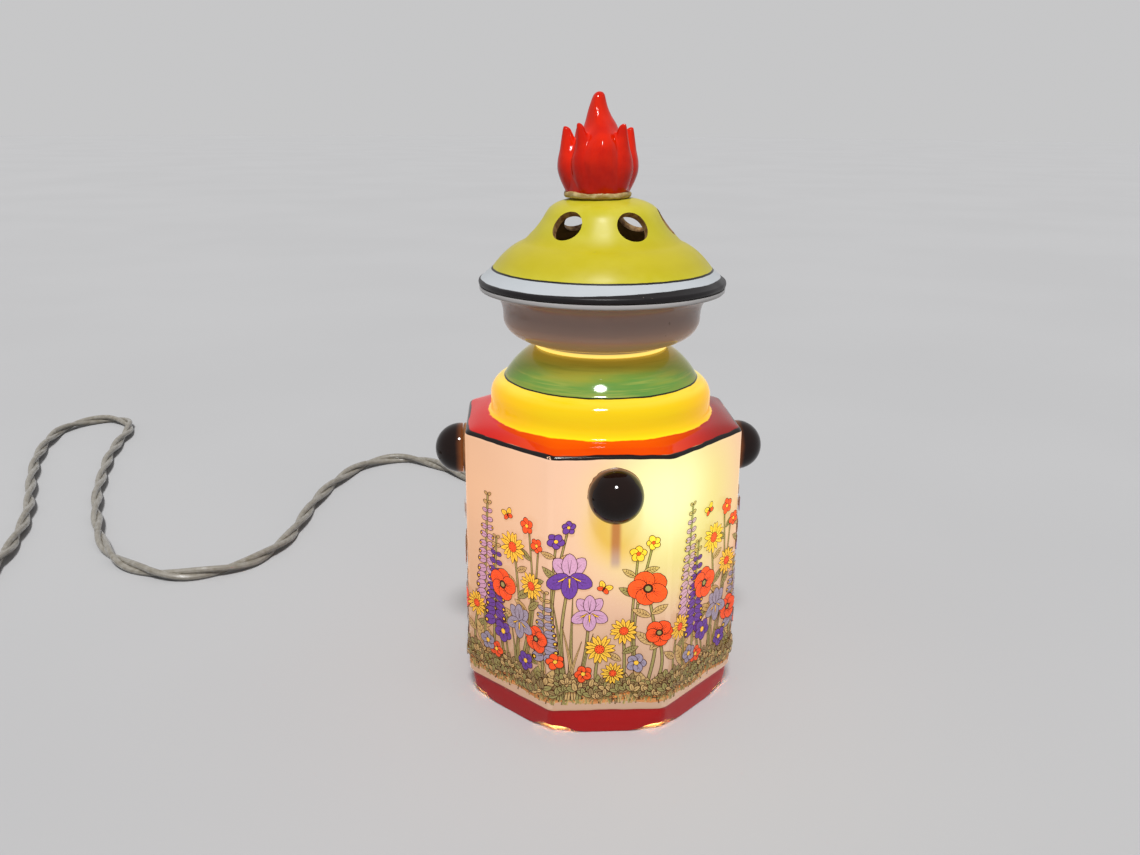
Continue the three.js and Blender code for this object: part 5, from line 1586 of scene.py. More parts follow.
    def _petal(
        self, at: Point, turn: float, length: float, width: float, ink: Ink, blunt: float = 0.6,
        veins: int = 1,
    ) -> None:
        """A petal or leaf with its drawn outline and veins.

        Args:
            at: its place.
            turn: the way it points, in degrees.
            length: its length.
            width: its width.
            ink: its ink.
            blunt: 1 for a pointed end, less for a round one.
            veins: how many veins are drawn.
        """
        self._area(self._blade(at, turn, length, width, blunt), Ink.LINE)
        inner = self._turned(at, turn, [(self.EDGE, 0.0)])[0]
        self._area(self._blade(inner, turn, length - 2.2 * self.EDGE, width - 2 * self.EDGE, blunt), ink)
        for i in range(veins):
            lean = (i - 0.5 * (veins - 1)) * 12
            reach = length * (0.74 - 0.08 * abs(lean) / 12)
            ends = [(0.12 * length, 0.0), self._turned((0, 0), lean, [(reach, 0.0)])[0]]
            self._stroke(self._turned(at, turn, ends), 0.2, Ink.LINE, 0.4, over=i == 0)

    def _leaf(self, at: Point, turn: float, length: float, ink: Ink) -> None:
        """A leaf with a middle vein and side veins.

        Args:
            at: its place.
            turn: the way it points, in degrees.
            length: its length.
            ink: its ink.
        """
        width = 0.42 * length
        self._petal(at, turn, length, width, ink, 0.85)
        for share in (0.22, 0.38, 0.54, 0.68):
            for side in (-1, 1):
                reach = side * width * 0.42 * math.sin(math.pi * share)
                ends = [(share * length, 0.0), ((share + 0.13) * length, reach)]
                self._stroke(self._turned(at, turn, ends), 0.17, Ink.LINE, 0.5, over=False)

    def _sword(self, root: Point, tip: Point) -> None:
        """A long pointed leaf with lines along it.

        Args:
            root: where it starts.
            tip: where it ends.
        """
        middle = (0.55 * root[0] + 0.45 * tip[0] + 0.12 * (root[0] - tip[0]), 0.5 * (root[1] + tip[1]))
        self._stroke((root, middle, tip), 2.3, Ink.LINE, 0.12)
        self._stroke((root, middle, tip), 1.8, self.dice.choice((Ink.LEAF, Ink.SAGE)), 0.05)
        self._stroke((root, middle, tip), 0.24, Ink.LINE, 0.3)

    def _stem(self, points: Sequence[Point], width: float) -> None:
        """A stem with dark edges."""
        self._stroke(points, width + 2 * self.EDGE, Ink.LINE, 0.75)
        self._stroke(points, width, Ink.SAGE, 0.65)

    def _dot(self, at: Point, size: float, ink: Ink, sides: int = 8, over: bool = True) -> None:
        """A round spot."""
        ring = [(at[0] + size * math.cos(t), at[1] + size * math.sin(t)) for t in all_round(sides)]
        self._area(ring, ink, over)

    def _ring(self, at: Point, size: float, ink: Ink, count: int, spot: float) -> None:
        """Small spots in a ring."""
        for i, place in enumerate(self._turned(at, 360 * i / count, [(size, 0.0)])[0] for i in range(count)):
            self._dot(place, spot, ink, 5, over=i == 0)

    def _bloom(self, kind: Bloom, ink: Ink, at: Point, size: float) -> None:
        """One flower, seen from the front.

        Args:
            kind: the kind of flower.
            ink: its ink.
            at: its place.
            size: its radius.
        """
        if kind is Bloom.IRIS:
            self._iris(at, size, ink)
        elif kind is Bloom.POPPY:
            self._open(at, size, 5, 1.08 * size, ink, 0.42, 3)
            self._dot(at, 0.26 * size, Ink.LINE, 12)
            self._dot(at, 0.15 * size, Ink.SAGE, 8)
            self._ring(at, 0.36 * size, Ink.LINE, 13, 0.2)
        elif kind is Bloom.DAISY:
            self._open(at, size, 14, 0.36 * size, ink, 0.6, 1)
            self._dot(at, 0.33 * size, Ink.LINE, 14)
            self._dot(at, 0.33 * size - 0.2, Ink.CORAL, 14)
            self._ring(at, 0.20 * size, Ink.LINE, 8, 0.2)
        else:
            self._open(at, size, 5, 0.92 * size, ink, 0.5, 2 if size > 3.5 else 0)
            self._dot(at, 0.26 * size, Ink.LINE, 10)
            self._dot(at, 0.26 * size - 0.18, Ink.CORAL if ink is Ink.YELLOW else Ink.YELLOW, 10)

    def _open(
        self, at: Point, size: float, count: int, width: float, ink: Ink, blunt: float, veins: int
    ) -> None:
        """A ring of petals.

        Args:
            at: its place.
            size: its radius.
            count: how many there are.
            width: the petals' width.
            ink: its ink.
            blunt: 1 for a pointed end, less for a round one.
            veins: how many veins are drawn.
        """
        first = self.dice.uniform(0, 360)
        for i in range(count):
            turn = first + 360 * i / count + self.dice.uniform(-5, 5)
            self._petal(at, turn, size * self.dice.uniform(0.92, 1.06), width, ink, blunt, veins)

    def _iris(self, at: Point, size: float, ink: Ink) -> None:
        """Upright petals over three hanging ones with yellow beards.

        Args:
            at: its place.
            size: its size.
            ink: its ink.
        """
        pale = Ink.LILAC if ink is Ink.VIOLET else ink
        for turn in (128, 52, 90):
            self._petal(at, turn, size, 0.66 * size, pale, 0.55, 2)
        for turn in (206, -26, -90):
            self._petal(at, turn, 1.02 * size, 0.70 * size, ink, 0.5, 3)
            beard = self._turned(at, turn, [(0.1 * size, 0.0), (0.5 * size, 0.0)])
            self._stroke(beard, 1.0, Ink.LINE, 0.5)
            self._stroke(beard, 0.6, Ink.YELLOW, 0.4)

    def _spire(self, ink: Ink, root: Point, tip: Point) -> None:
        """An upright stem with bells down both sides, and buds at its tip.

        Args:
            ink: its ink.
            root: where it starts.
            tip: where it ends.
        """
        self._stem((root, (0.5 * (root[0] + tip[0]) - 0.8, 0.5 * (root[1] + tip[1])), tip), 1.0)
        low = root[1] + 0.40 * (tip[1] - root[1])
        count = round((tip[1] - low) / 3.1)
        for i in range(count, -1, -1):
            share = i / count
            z = low + (tip[1] - low) * share
            x = root[0] + (tip[0] - root[0]) * (z - root[1]) / (tip[1] - root[1])
            size = 6.2 - 4.2 * share
            for side in (-1, 1):
                turn = 90 + side * (118 - 50 * share) + self.dice.uniform(-6, 6)
                self._petal((x, z), turn, size, 0.70 * size, ink if share < 0.85 else Ink.LEAF, 0.42, 1)
                if share < 0.7:
                    mouth = self._turned((x, z), turn, [(0.80 * size, 0.0)])[0]
                    self._dot(mouth, 0.17 * size, Ink.LINE, 7)
                    self._dot(mouth, 0.09 * size, Ink.YELLOW, 6)

    def _grass(self, foot: float, high: float, count: int) -> None:
        """Leaning blades all along, one ink after the other.

        Args:
            foot: the height that they grow from.
            high: how long they are.
            count: how many there are of each ink.
        """
        for ink in (Ink.SHADE, Ink.GRASS, Ink.LEAF, Ink.SAGE):
            for i in range(count):
                x = self.dice.uniform(self.LEFT, self.RIGHT)
                z = foot + self.dice.uniform(-1.2, 1.2)
                reach = high * self.dice.uniform(0.5, 1.15)
                lean = self.dice.uniform(-0.7, 0.7) * reach
                blade = [(x, z), (x + 0.35 * lean, z + 0.6 * reach), (x + lean, z + reach)]
                self._stroke(blade, 0.55, ink, 0.1, over=i == 0)

    def _tufts(self) -> None:
        """Rows of small round leaves at the flowers' feet."""
        count = 34
        for row in range(3):
            for i in range(count):
                x = self.LEFT + self.SPAN * (i + 0.5 * (row % 2)) / count + self.dice.uniform(-0.6, 0.6)
                z = 21.4 - 2.0 * row + 1.5 * math.sin(x * 0.33) + self.dice.uniform(-0.7, 0.7)
                size = self.dice.uniform(1.5, 2.3)
                for turn in (150, 30, 90):
                    ink = self.dice.choice((Ink.LEAF, Ink.SAGE, Ink.GRASS))
                    self._petal((x, z), turn + self.dice.uniform(-15, 15), 1.7 * size, size, ink, 0.55, 1)

    def _ground(self) -> None:
        """Earth with strokes of ochre and shade."""
        count = 16

        def wavy(height: float, rise: float, waves: int) -> list[Point]:
            """A border that rises and falls.

            Args:
                height: its middle height.
                rise: how far it rises.
                waves: how often, over the repeat.

            Returns:
                Its points.
            """
            spots = [self.LEFT + self.SPAN * i / count for i in range(count + 1)]
            turns = [waves * 2 * math.pi * (x - self.LEFT) / self.SPAN for x in spots]
            return [(x, height + rise * math.sin(turn)) for x, turn in zip(spots, turns)]

        self._area([*wavy(18.6, 1.2, 3), *reversed(wavy(13.4, 0.6, 4))], Ink.EARTH)
        for i in range(110):
            x = self.dice.uniform(self.LEFT, self.RIGHT - 5)
            z = self.dice.uniform(14.4, 18.6)
            ink = self.dice.choice((Ink.OCHRE, Ink.LINE, Ink.SHADE, Ink.LEAF, Ink.OCHRE))
            slope = self.dice.uniform(-0.9, 0.9)
            self._stroke([(x, z), (x + 2.4, z + slope), (x + 5.0, z + 0.5 * slope)], 0.8, ink, 0.1)

    def _butterfly(self, at: Point, turn: float) -> None:
        """A small butterfly.

        Args:
            at: its place.
            turn: the way it flies, in degrees.
        """
        for side in (-1, 1):
            self._petal(at, turn + side * 48, 3.4, 2.3, Ink.YELLOW, 0.5)
            self._petal(at, turn + side * 112, 2.5, 1.9, Ink.CORAL, 0.5)
        self._petal(self._turned(at, turn, [(-1.2, 0.0)])[0], turn, 2.8, 0.7, Ink.LINE, 0.5, 0)


class Dish(Assembly):
    """The oil dish."""

    def build(self) -> None:
        """Makes the dish."""
        rise = RIM_Z - BELLY_Z
        foot = DISH_Z - 3
        line = Line(0, foot).to((19.0, foot)).curve((20.0, foot), (20.0, foot + 1), steps=3)
        line.to((20.0, DISH_Z - 0.1), (23.9, DISH_Z)).curve((24.2, DISH_Z), (24.2, DISH_Z + 0.4), steps=3)
        line.to((24.2, DISH_Z + 1.7)).curve((24.2, DISH_Z + 2.2), (24.9, DISH_Z + 2.3), steps=3)
        line.curve((30.6, DISH_Z + 2.6), (DISH_R, BELLY_Z - 4.6), (DISH_R, BELLY_Z), steps=20)
        line.curve(
            (DISH_R, BELLY_Z + 0.48 * rise), (37.5, BELLY_Z + 0.82 * rise),
            (RIM_R - 0.6, RIM_Z - RIM_EDGE), steps=16,
        )
        line.curve((RIM_R, RIM_Z - RIM_EDGE + 0.1), (RIM_R, RIM_Z - RIM_EDGE + 0.6), steps=3)
        line.to((RIM_R, RIM_Z - 0.3)).curve((RIM_R, RIM_Z), (RIM_R - 0.3, RIM_Z), steps=2)
        mouth = RIM_R - 10
        line.to((mouth + 0.3, RIM_Z)).curve((mouth, RIM_Z), (mouth, RIM_Z - 0.3), steps=2)
        line.to((mouth, RIM_Z - 3.0)).curve((33.0, 149.6), (32.6, 147.0), (32.6, 143.4), steps=8)
        line.curve((32.5, 139.8), (29.0, 137.8), (24.4, 137.3), steps=10)
        line.curve((19.0, 136.6), (20.0, DISH_Z), (14.0, DISH_Z), steps=8).to((0, DISH_Z))
        shape = Shape().lathe(line.points, 128)
        self.add(shape.made("oil_dish_bowl", DishGlaze().material()), "oil_dish", slot="porcelain_dish")


class Lid(Assembly):
    """The pierced lid and the flame glued on it."""

    # Outer tongues of the flame: direction, height, reach, lean and width
    TONGUES = (
        (4, 21.8, 14.2, 0.3, 1.0), (65, 21.2, 13.9, 0.0, 1.0), (122, 21.8, 13.9, 0.4, 1.0),
        (183, 22.0, 14.2, -0.4, 1.0), (243, 23.2, 13.6, -3.2, 0.86), (314, 23.0, 13.8, 0.4, 0.92),
    )

    def build(self) -> None:
        """Makes the lid, the flame and the glue between them."""
        self._dome()
        self._flame()
        self._glue()

    def _dome(self) -> None:
        """Makes the lid, with its hidden inside painted near black as shade, and bores the vents, whose walls
        are bare clay.
        """
        seat, band, step = RIM_R - 3.8, RIM_R + 0.25, BRIM_R - 0.5
        line = Line(seat, LID_Z).to((RIM_R - 0.5, LID_Z)).curve((band, LID_Z), (band, LID_Z + 0.95), steps=5)
        line.curve((band, BAND_Z - 0.05), (RIM_R - 0.5, BAND_Z + 0.1), steps=5)
        line.to((BRIM_R + 0.3, BRIM_Z - 0.25))
        line.curve((BRIM_R, BRIM_Z), (BRIM_R - 0.25, BRIM_Z + 0.25), steps=3).to((step, BRIM_Z + 0.5))
        line.curve((36.2, 164.5), (32.9, 167.7), (WAIST_R, WAIST_Z), steps=14)
        line.curve((25.8, 171.2), (23.1, 175.6), (CROWN_R, CROWN_Z), steps=12)
        line.curve((18.9, 181.8), (16.1, 183.7), (10.0, LID_TOP_Z), steps=12).to((0, LID_TOP_Z))
        line.to((0, 181.9), (10.0, 181.9)).curve((14.9, 181.4), (17.3, 179.6), (18.9, 177.2), steps=8)
        line.curve((21.3, 173.7), (24.4, 169.6), (26.6, 167.6), steps=8)
        line.curve((28.4, 166.2), (29.9, 165.0), (30.7, 163.6), steps=5)
        line.to((30.7, 153.3), (31.0, 153.0), (32.8, 153.0), (33.1, 153.3), (33.1, 163.2))
        line.curve((36.6, 161.2), (seat, 157.6), steps=5).to((seat, LID_Z))
        shape = Shape().lathe(line.points, 144)
        # Faces of the lid's hidden inside take the near black painted shade
        for face in shape.bm.faces:
            out = Vector((*face.calc_center_median().xy, 0))
            hidden = out.length < seat and face.calc_center_median().z < LID_TOP_Z - 1
            face.material_index = 1 if hidden and face.normal.dot(out.normalized()) < 0.25 else 0
        dome = shape.made("lid_dome", LidGlaze().material(), LID_INSIDE_SHADE.material())
        clay = BARE_CLAY.material()
        lid = carved(dome, [self._drill(i, clay) for i in range(VENTS)])
        self.add(lid, "pierced_lid", slot="porcelain_lid", angle=50.0)

    @staticmethod
    def _drill(index: int, clay: bpy.types.Material) -> Piece:
        """The cutter of one vent, which leaves its outer edge rounded.

        Args:
            index: the vent's number.
            clay: the bare clay.

        Returns:
            The object.
        """
        slope = math.atan2(WAIST_R - CROWN_R, CROWN_Z - WAIST_Z)
        radius = WAIST_R + (CROWN_R - WAIST_R) * VENT_PLACE
        height = WAIST_Z + (CROWN_Z - WAIST_Z) * VENT_PLACE
        line = Line(0, -8).to((VENT_R - 0.1, -8), (VENT_R, 0.0)).curve((VENT_R, 0.9), (VENT_R + 0.7, 1.5))
        drill = Shape().lathe(line.to((VENT_R + 0.7, 8), (0, 8)).points, 48)
        tilt = Matrix.Rotation(math.pi / 2 - slope, 4, "Y")
        turn = about_z(360 / VENTS * index + LID_TURN)
        drill.move(turn @ Matrix.Translation((radius, 0, height - 0.9)) @ tilt)
        return drill.made("drill", clay)

    def _flame(self) -> None:
        """Makes the tongues and draws one smooth skin over them."""
        shape = Shape()
        for degrees, height, reach, lean, width in self.TONGUES:
            tongue = Shape().loft(self._tongue(height, reach, lean, width))
            self._join(shape, tongue.move(about_z(degrees)))
        self._join(shape, Shape().loft(self._middle()))
        shape.move(Matrix.Translation((FLAME_SHIFT, 0, 0)))
        flame = shape.made("flame_casting", FLAME_RED.material())
        grown = flame.modifiers.new("one_skin", "REMESH")
        grown.mode = "VOXEL"
        grown.voxel_size = 0.3 * MM
        grown.use_smooth_shade = True
        soft = flame.modifiers.new("soft", "SMOOTH")
        soft.factor = 0.5
        soft.iterations = 12
        baked(flame)
        self.add(flame, "flame_finial", slot="glaze_red", angle=80.0)

    @staticmethod
    def _join(shape: Shape, other: Shape) -> None:
        """Adds another shape's mesh to a shape.

        Args:
            shape: the shape that grows.
            other: the other one.
        """
        mesh = bpy.data.meshes.new("part")
        other.bm.to_mesh(mesh)
        shape.bm.from_mesh(mesh)
        bpy.data.meshes.remove(mesh)

    @staticmethod
    def _tongue(height: float, reach: float, lean: float, width: float) -> list[list[Vector]]:
        """Rings of an outer tongue that stands at +X, swells and runs out to a point.

        Args:
            height: its height.
            reach: how far it swells.
            lean: how far its tip is aside.
            width: a factor on its width.

        Returns:
            The rings.
        """
        base = 11.2
        tip = reach - 1.75 - 0.35 * abs(lean)
        stations = (
            (0.0, base, 4.6, 4.8), (0.08, base + 0.9, 4.9, 5.5), (0.2, base + 0.7 * (reach - base), 5.0, 6.2),
            (0.34, reach, 5.0, 6.5), (0.5, reach - 0.1, 4.6, 5.7), (0.64, 0.6 * reach + 0.4 * tip, 3.8, 4.1),
            (0.76, 0.4 * reach + 0.6 * tip, 2.9, 2.8), (0.86, 0.22 * reach + 0.78 * tip, 2.1, 1.95),
            (0.93, 0.1 * reach + 0.9 * tip, 1.6, 1.5), (0.975, tip, 1.2, 1.15), (1.0, tip - 0.2, 0.55, 0.55),
        )
        rings = []
        for rise, outer, deep, across in graded(stations, height):
            aside = lean * (rise / height) ** 2
            ring = []
            for turn in all_round(24):
                x = outer - deep + deep * math.cos(turn)
                ring.append(Vector((x, aside + width * across * math.sin(turn), FLAME_Z + rise)))
            rings.append(ring)
        return rings

    @staticmethod
    def _middle() -> list[list[Vector]]:
        """Rings of the middle tongue, with a ridge that winds up its front and one beside it.

        Returns:
            The rings.
        """
        stations = (
            (0.0, 0.0, 10.8, 11.6), (0.14, 0.0, 11.6, 13.0), (0.28, 0.0, 11.6, 13.6), (0.40, 0.1, 10.4, 13.2),
            (0.50, 0.3, 8.9, 11.9), (0.58, 0.6, 7.4, 9.8), (0.64, 0.7, 6.2, 7.8), (0.70, 0.55, 5.3, 6.2),
            (0.765, 0.1, 4.3, 4.8), (0.845, -0.15, 3.3, 3.5), (0.92, -0.1, 2.5, 2.6), (0.965, 0.05, 2.0, 2.0),
            (0.988, 0.15, 1.4, 1.4), (1.0, 0.25, 0.7, 0.7),
        )
        rings = []
        for rise, x, radius, front in graded(stations, FLAME_HEIGHT):
            share = rise / FLAME_HEIGHT
            ridge = math.radians(-118 + 38 * min(1.0, max(0.0, (1 - share) / 0.5)))
            beside = 0.06 * math.exp(-((share - 0.34) / 0.12) ** 2)
            ring = []
            for turn in all_round(48):
                ahead = max(0.0, math.cos(turn - math.radians(-92)))
                reach = radius + (front - radius) * ahead ** 5
                reach *= 1 + 0.15 * max(0.0, math.cos(turn - ridge)) ** 16 * min(1.0, share * 1.4)
                reach *= 1 + beside * max(0.0, math.cos(turn - math.radians(-110))) ** 40
                place = (x + reach * math.cos(turn), reach * math.sin(turn))
                ring.append(Vector((*place, FLAME_Z + rise)))
            rings.append(ring)
        return rings

    def _glue(self) -> None:
        """Makes the lumpy band of glue between the lid and the flame."""
        foot, top = LID_TOP_Z + 0.3, FLAME_Z + 0.4
        line = [
            (0, foot), (11.2, foot), (11.75, foot + 0.4), (11.9, foot + 1.1),
            (11.6, top - 0.3), (10.9, top), (0, top),
        ]
        band = Shape().lathe(line, 96)
        bmesh.ops.subdivide_edges(band.bm, edges=band.bm.edges[:], cuts=1, use_grid_fill=True)

        def lump(place: Vector) -> Vector:
            """How far the glue bulges at a place.

            Args:
                place: the place.

            Returns:
                The way it goes.
            """
            out = Vector((place.x, place.y, 0))
            if out.length < 9:
                return Vector()
            bump = noise.noise(place * 0.45) * 0.55 + noise.noise(place * 1.3) * 0.3
            rise = noise.noise(Vector((place.x, place.y, 7)) * 0.22) * 0.6 if place.z > foot + 0.7 else 0.0
            return out.normalized() * bump + Vector((0, 0, rise))

        band.shift(lump).move(Matrix.Translation((FLAME_SHIFT, 0, 0)))
        self.add(band.made("flame_glue", GLUE.material()), "finial_cement", slot="cement_beige", angle=70.0)


class Lampholder(Assembly):
    """Bow, nipple, nut and lampholder inside the tower."""

    def build(self) -> None:
        """Makes the turned pieces anew, and gives the bow and nut their finishes."""
        for node, finish in (("spring_bow", STEEL), ("holder_nut", BRASS)):
            refinished(node, finish)
        nipple = [(3.3, 14.6), (4.6, 14.6), (5.0, 15.0), (5.0, 29.6), (4.6, 30.0), (3.3, 30.0), (3.3, 14.6)]
        self.turned("nipple_tube", nipple, BRASS, "holder_nipple", slot="brass", soften=0.1)
        base = Line(0, 30.3).to((5.3, 30.3), (5.3, 22.3), (12.7, 22.3)).curve((13.5, 22.3), (13.5, 23.1))
        base.to((13.5, 32.3), (11.4, 32.3), (11.4, 37.3), (0, 37.3))
        self.turned("lampholder_base", base.points, PHENOLIC, "holder_base", slot="phenolic")
        shell = Line(11.7, 32.6).to((13.5, 32.6), (13.1, 44.0), (12.7, 58.0), (13.3, 59.0))
        shell.curve((13.4, 61.6), (12.0, 61.6), steps=5).to((8.8, 61.6)).curve((8.2, 61.6), (8.2, 61.0))
        shell.to((8.2, 41.2), (11.7, 39.4), (11.7, 32.6))
        self.turned("lampholder_sleeve", shell.points, PHENOLIC, "holder_shell", slot="phenolic")
        thread = tube(7.3, 7.9, 39.7, 57.7)
        self.turned("screw_sleeve", thread, BRASS, "holder_thread", slot="brass", soften=0.0)
        contact = Line(0, 37.6).to((3.0, 37.6), (3.0, 38.2), (1.6, 38.6), (1.5, 40.3))
        contact.curve((1.4, 40.8), (0, 40.8), steps=4)
        self.turned("centre_contact", contact.points, BRASS, "holder_contact", slot="brass", soften=0.0)


def tube(inner: float, outer: float, low: float, high: float) -> list[Point]:
    """The profile of a tube."""
    return [(outer, low), (outer, high), (inner, high), (inner, low), (outer, low)]


class Bulb(Assembly):
    """The small tubular bulb."""

    def build(self) -> None:
        """Makes the bulb's pieces."""
        radius, top, middle = 13.0, 98.1, 85.1
        glass = Line(6.15, 56.15).to((6.15, 63.2))
        glass.curve((6.15, 68.2), (radius, 67.2), (radius, 75.2), steps=16).to((radius, middle))
        quarter = [math.pi / 2 * i / 16 for i in range(1, 17)]
        arc = [(radius * math.cos(t), middle + radius * math.sin(t)) for t in quarter]
        arc[-1] = (0.0, top)
        outside = [*glass.points, *arc]
        inside = [(max(0.0, r - 0.75), z - 0.6 * (r < 12.9 and z > middle)) for r, z in outside]
        inside[-1] = (0.0, top - 0.8)
        envelope = [*outside, *reversed(inside), outside[0]]
        self.turned("bulb_envelope", envelope, GLASS, "bulb_glass", slot="clear_glass", soften=0.0)
        cap = tube(6.45, 6.9, 44.75, 62.15)
        self.turned("screw_cap", cap, NICKEL, "bulb_cap", slot="nickel", soften=0.0)
        seat = [(0, 42.6), (3.2, 42.6), (6.15, 44.75), (6.15, 46.9), (0, 46.9)]
        self.turned("cap_insulator", seat, BLACK_GLASS, "bulb_insulator", slot="black_glass")
        tip = [(0, 41.1), (1.3, 41.1), (2.2, 41.9), (2.2, 42.3), (0, 42.3)]
        self.turned("cap_contact", tip, SOLDER, "bulb_tip", slot="solder", soften=0.15)
        stem = Line(0, 56.55).to((5.05, 56.55)).curve((1.5, 57.6), (1.5, 67.5)).to((1.5, 78.1))
        stem.curve((1.5, 78.55), (0, 78.55), steps=4)
        self.turned("glass_stem", stem.points, GLASS, "bulb_stem", slot="clear_glass", soften=0.0)
        self._filament()

    def _filament(self) -> None:
        """Makes the coiled filament and its two lead wires."""
        left = [Vector(p) for p in ((-0.9, 0, 78.9), (-1.2, 0, 80.0), (-4.2, 0, 83.7), (-6.0, 0, 86.9))]
        right = [Vector((-p.x, 0, p.z)) for p in left]
        coil = []
        coils, steps = 30, 240
        for i in range(steps + 1):
            share = i / steps
            turn = 2 * math.pi * coils * share
            x = -6.0 + 12.0 * share
            z = 86.9 + 1.2 * math.sin(2 * math.pi * share) ** 2
            coil.append(Vector((x, 0.22 * math.cos(turn), z + 0.22 * math.sin(turn))))
        parts = [through(left, 0.6), coil, through(right, 0.6)]
        piece = wires("filament_wire", parts, 0.09, TUNGSTEN, 1)
        self.add(piece, "bulb_filament", slot="tungsten")


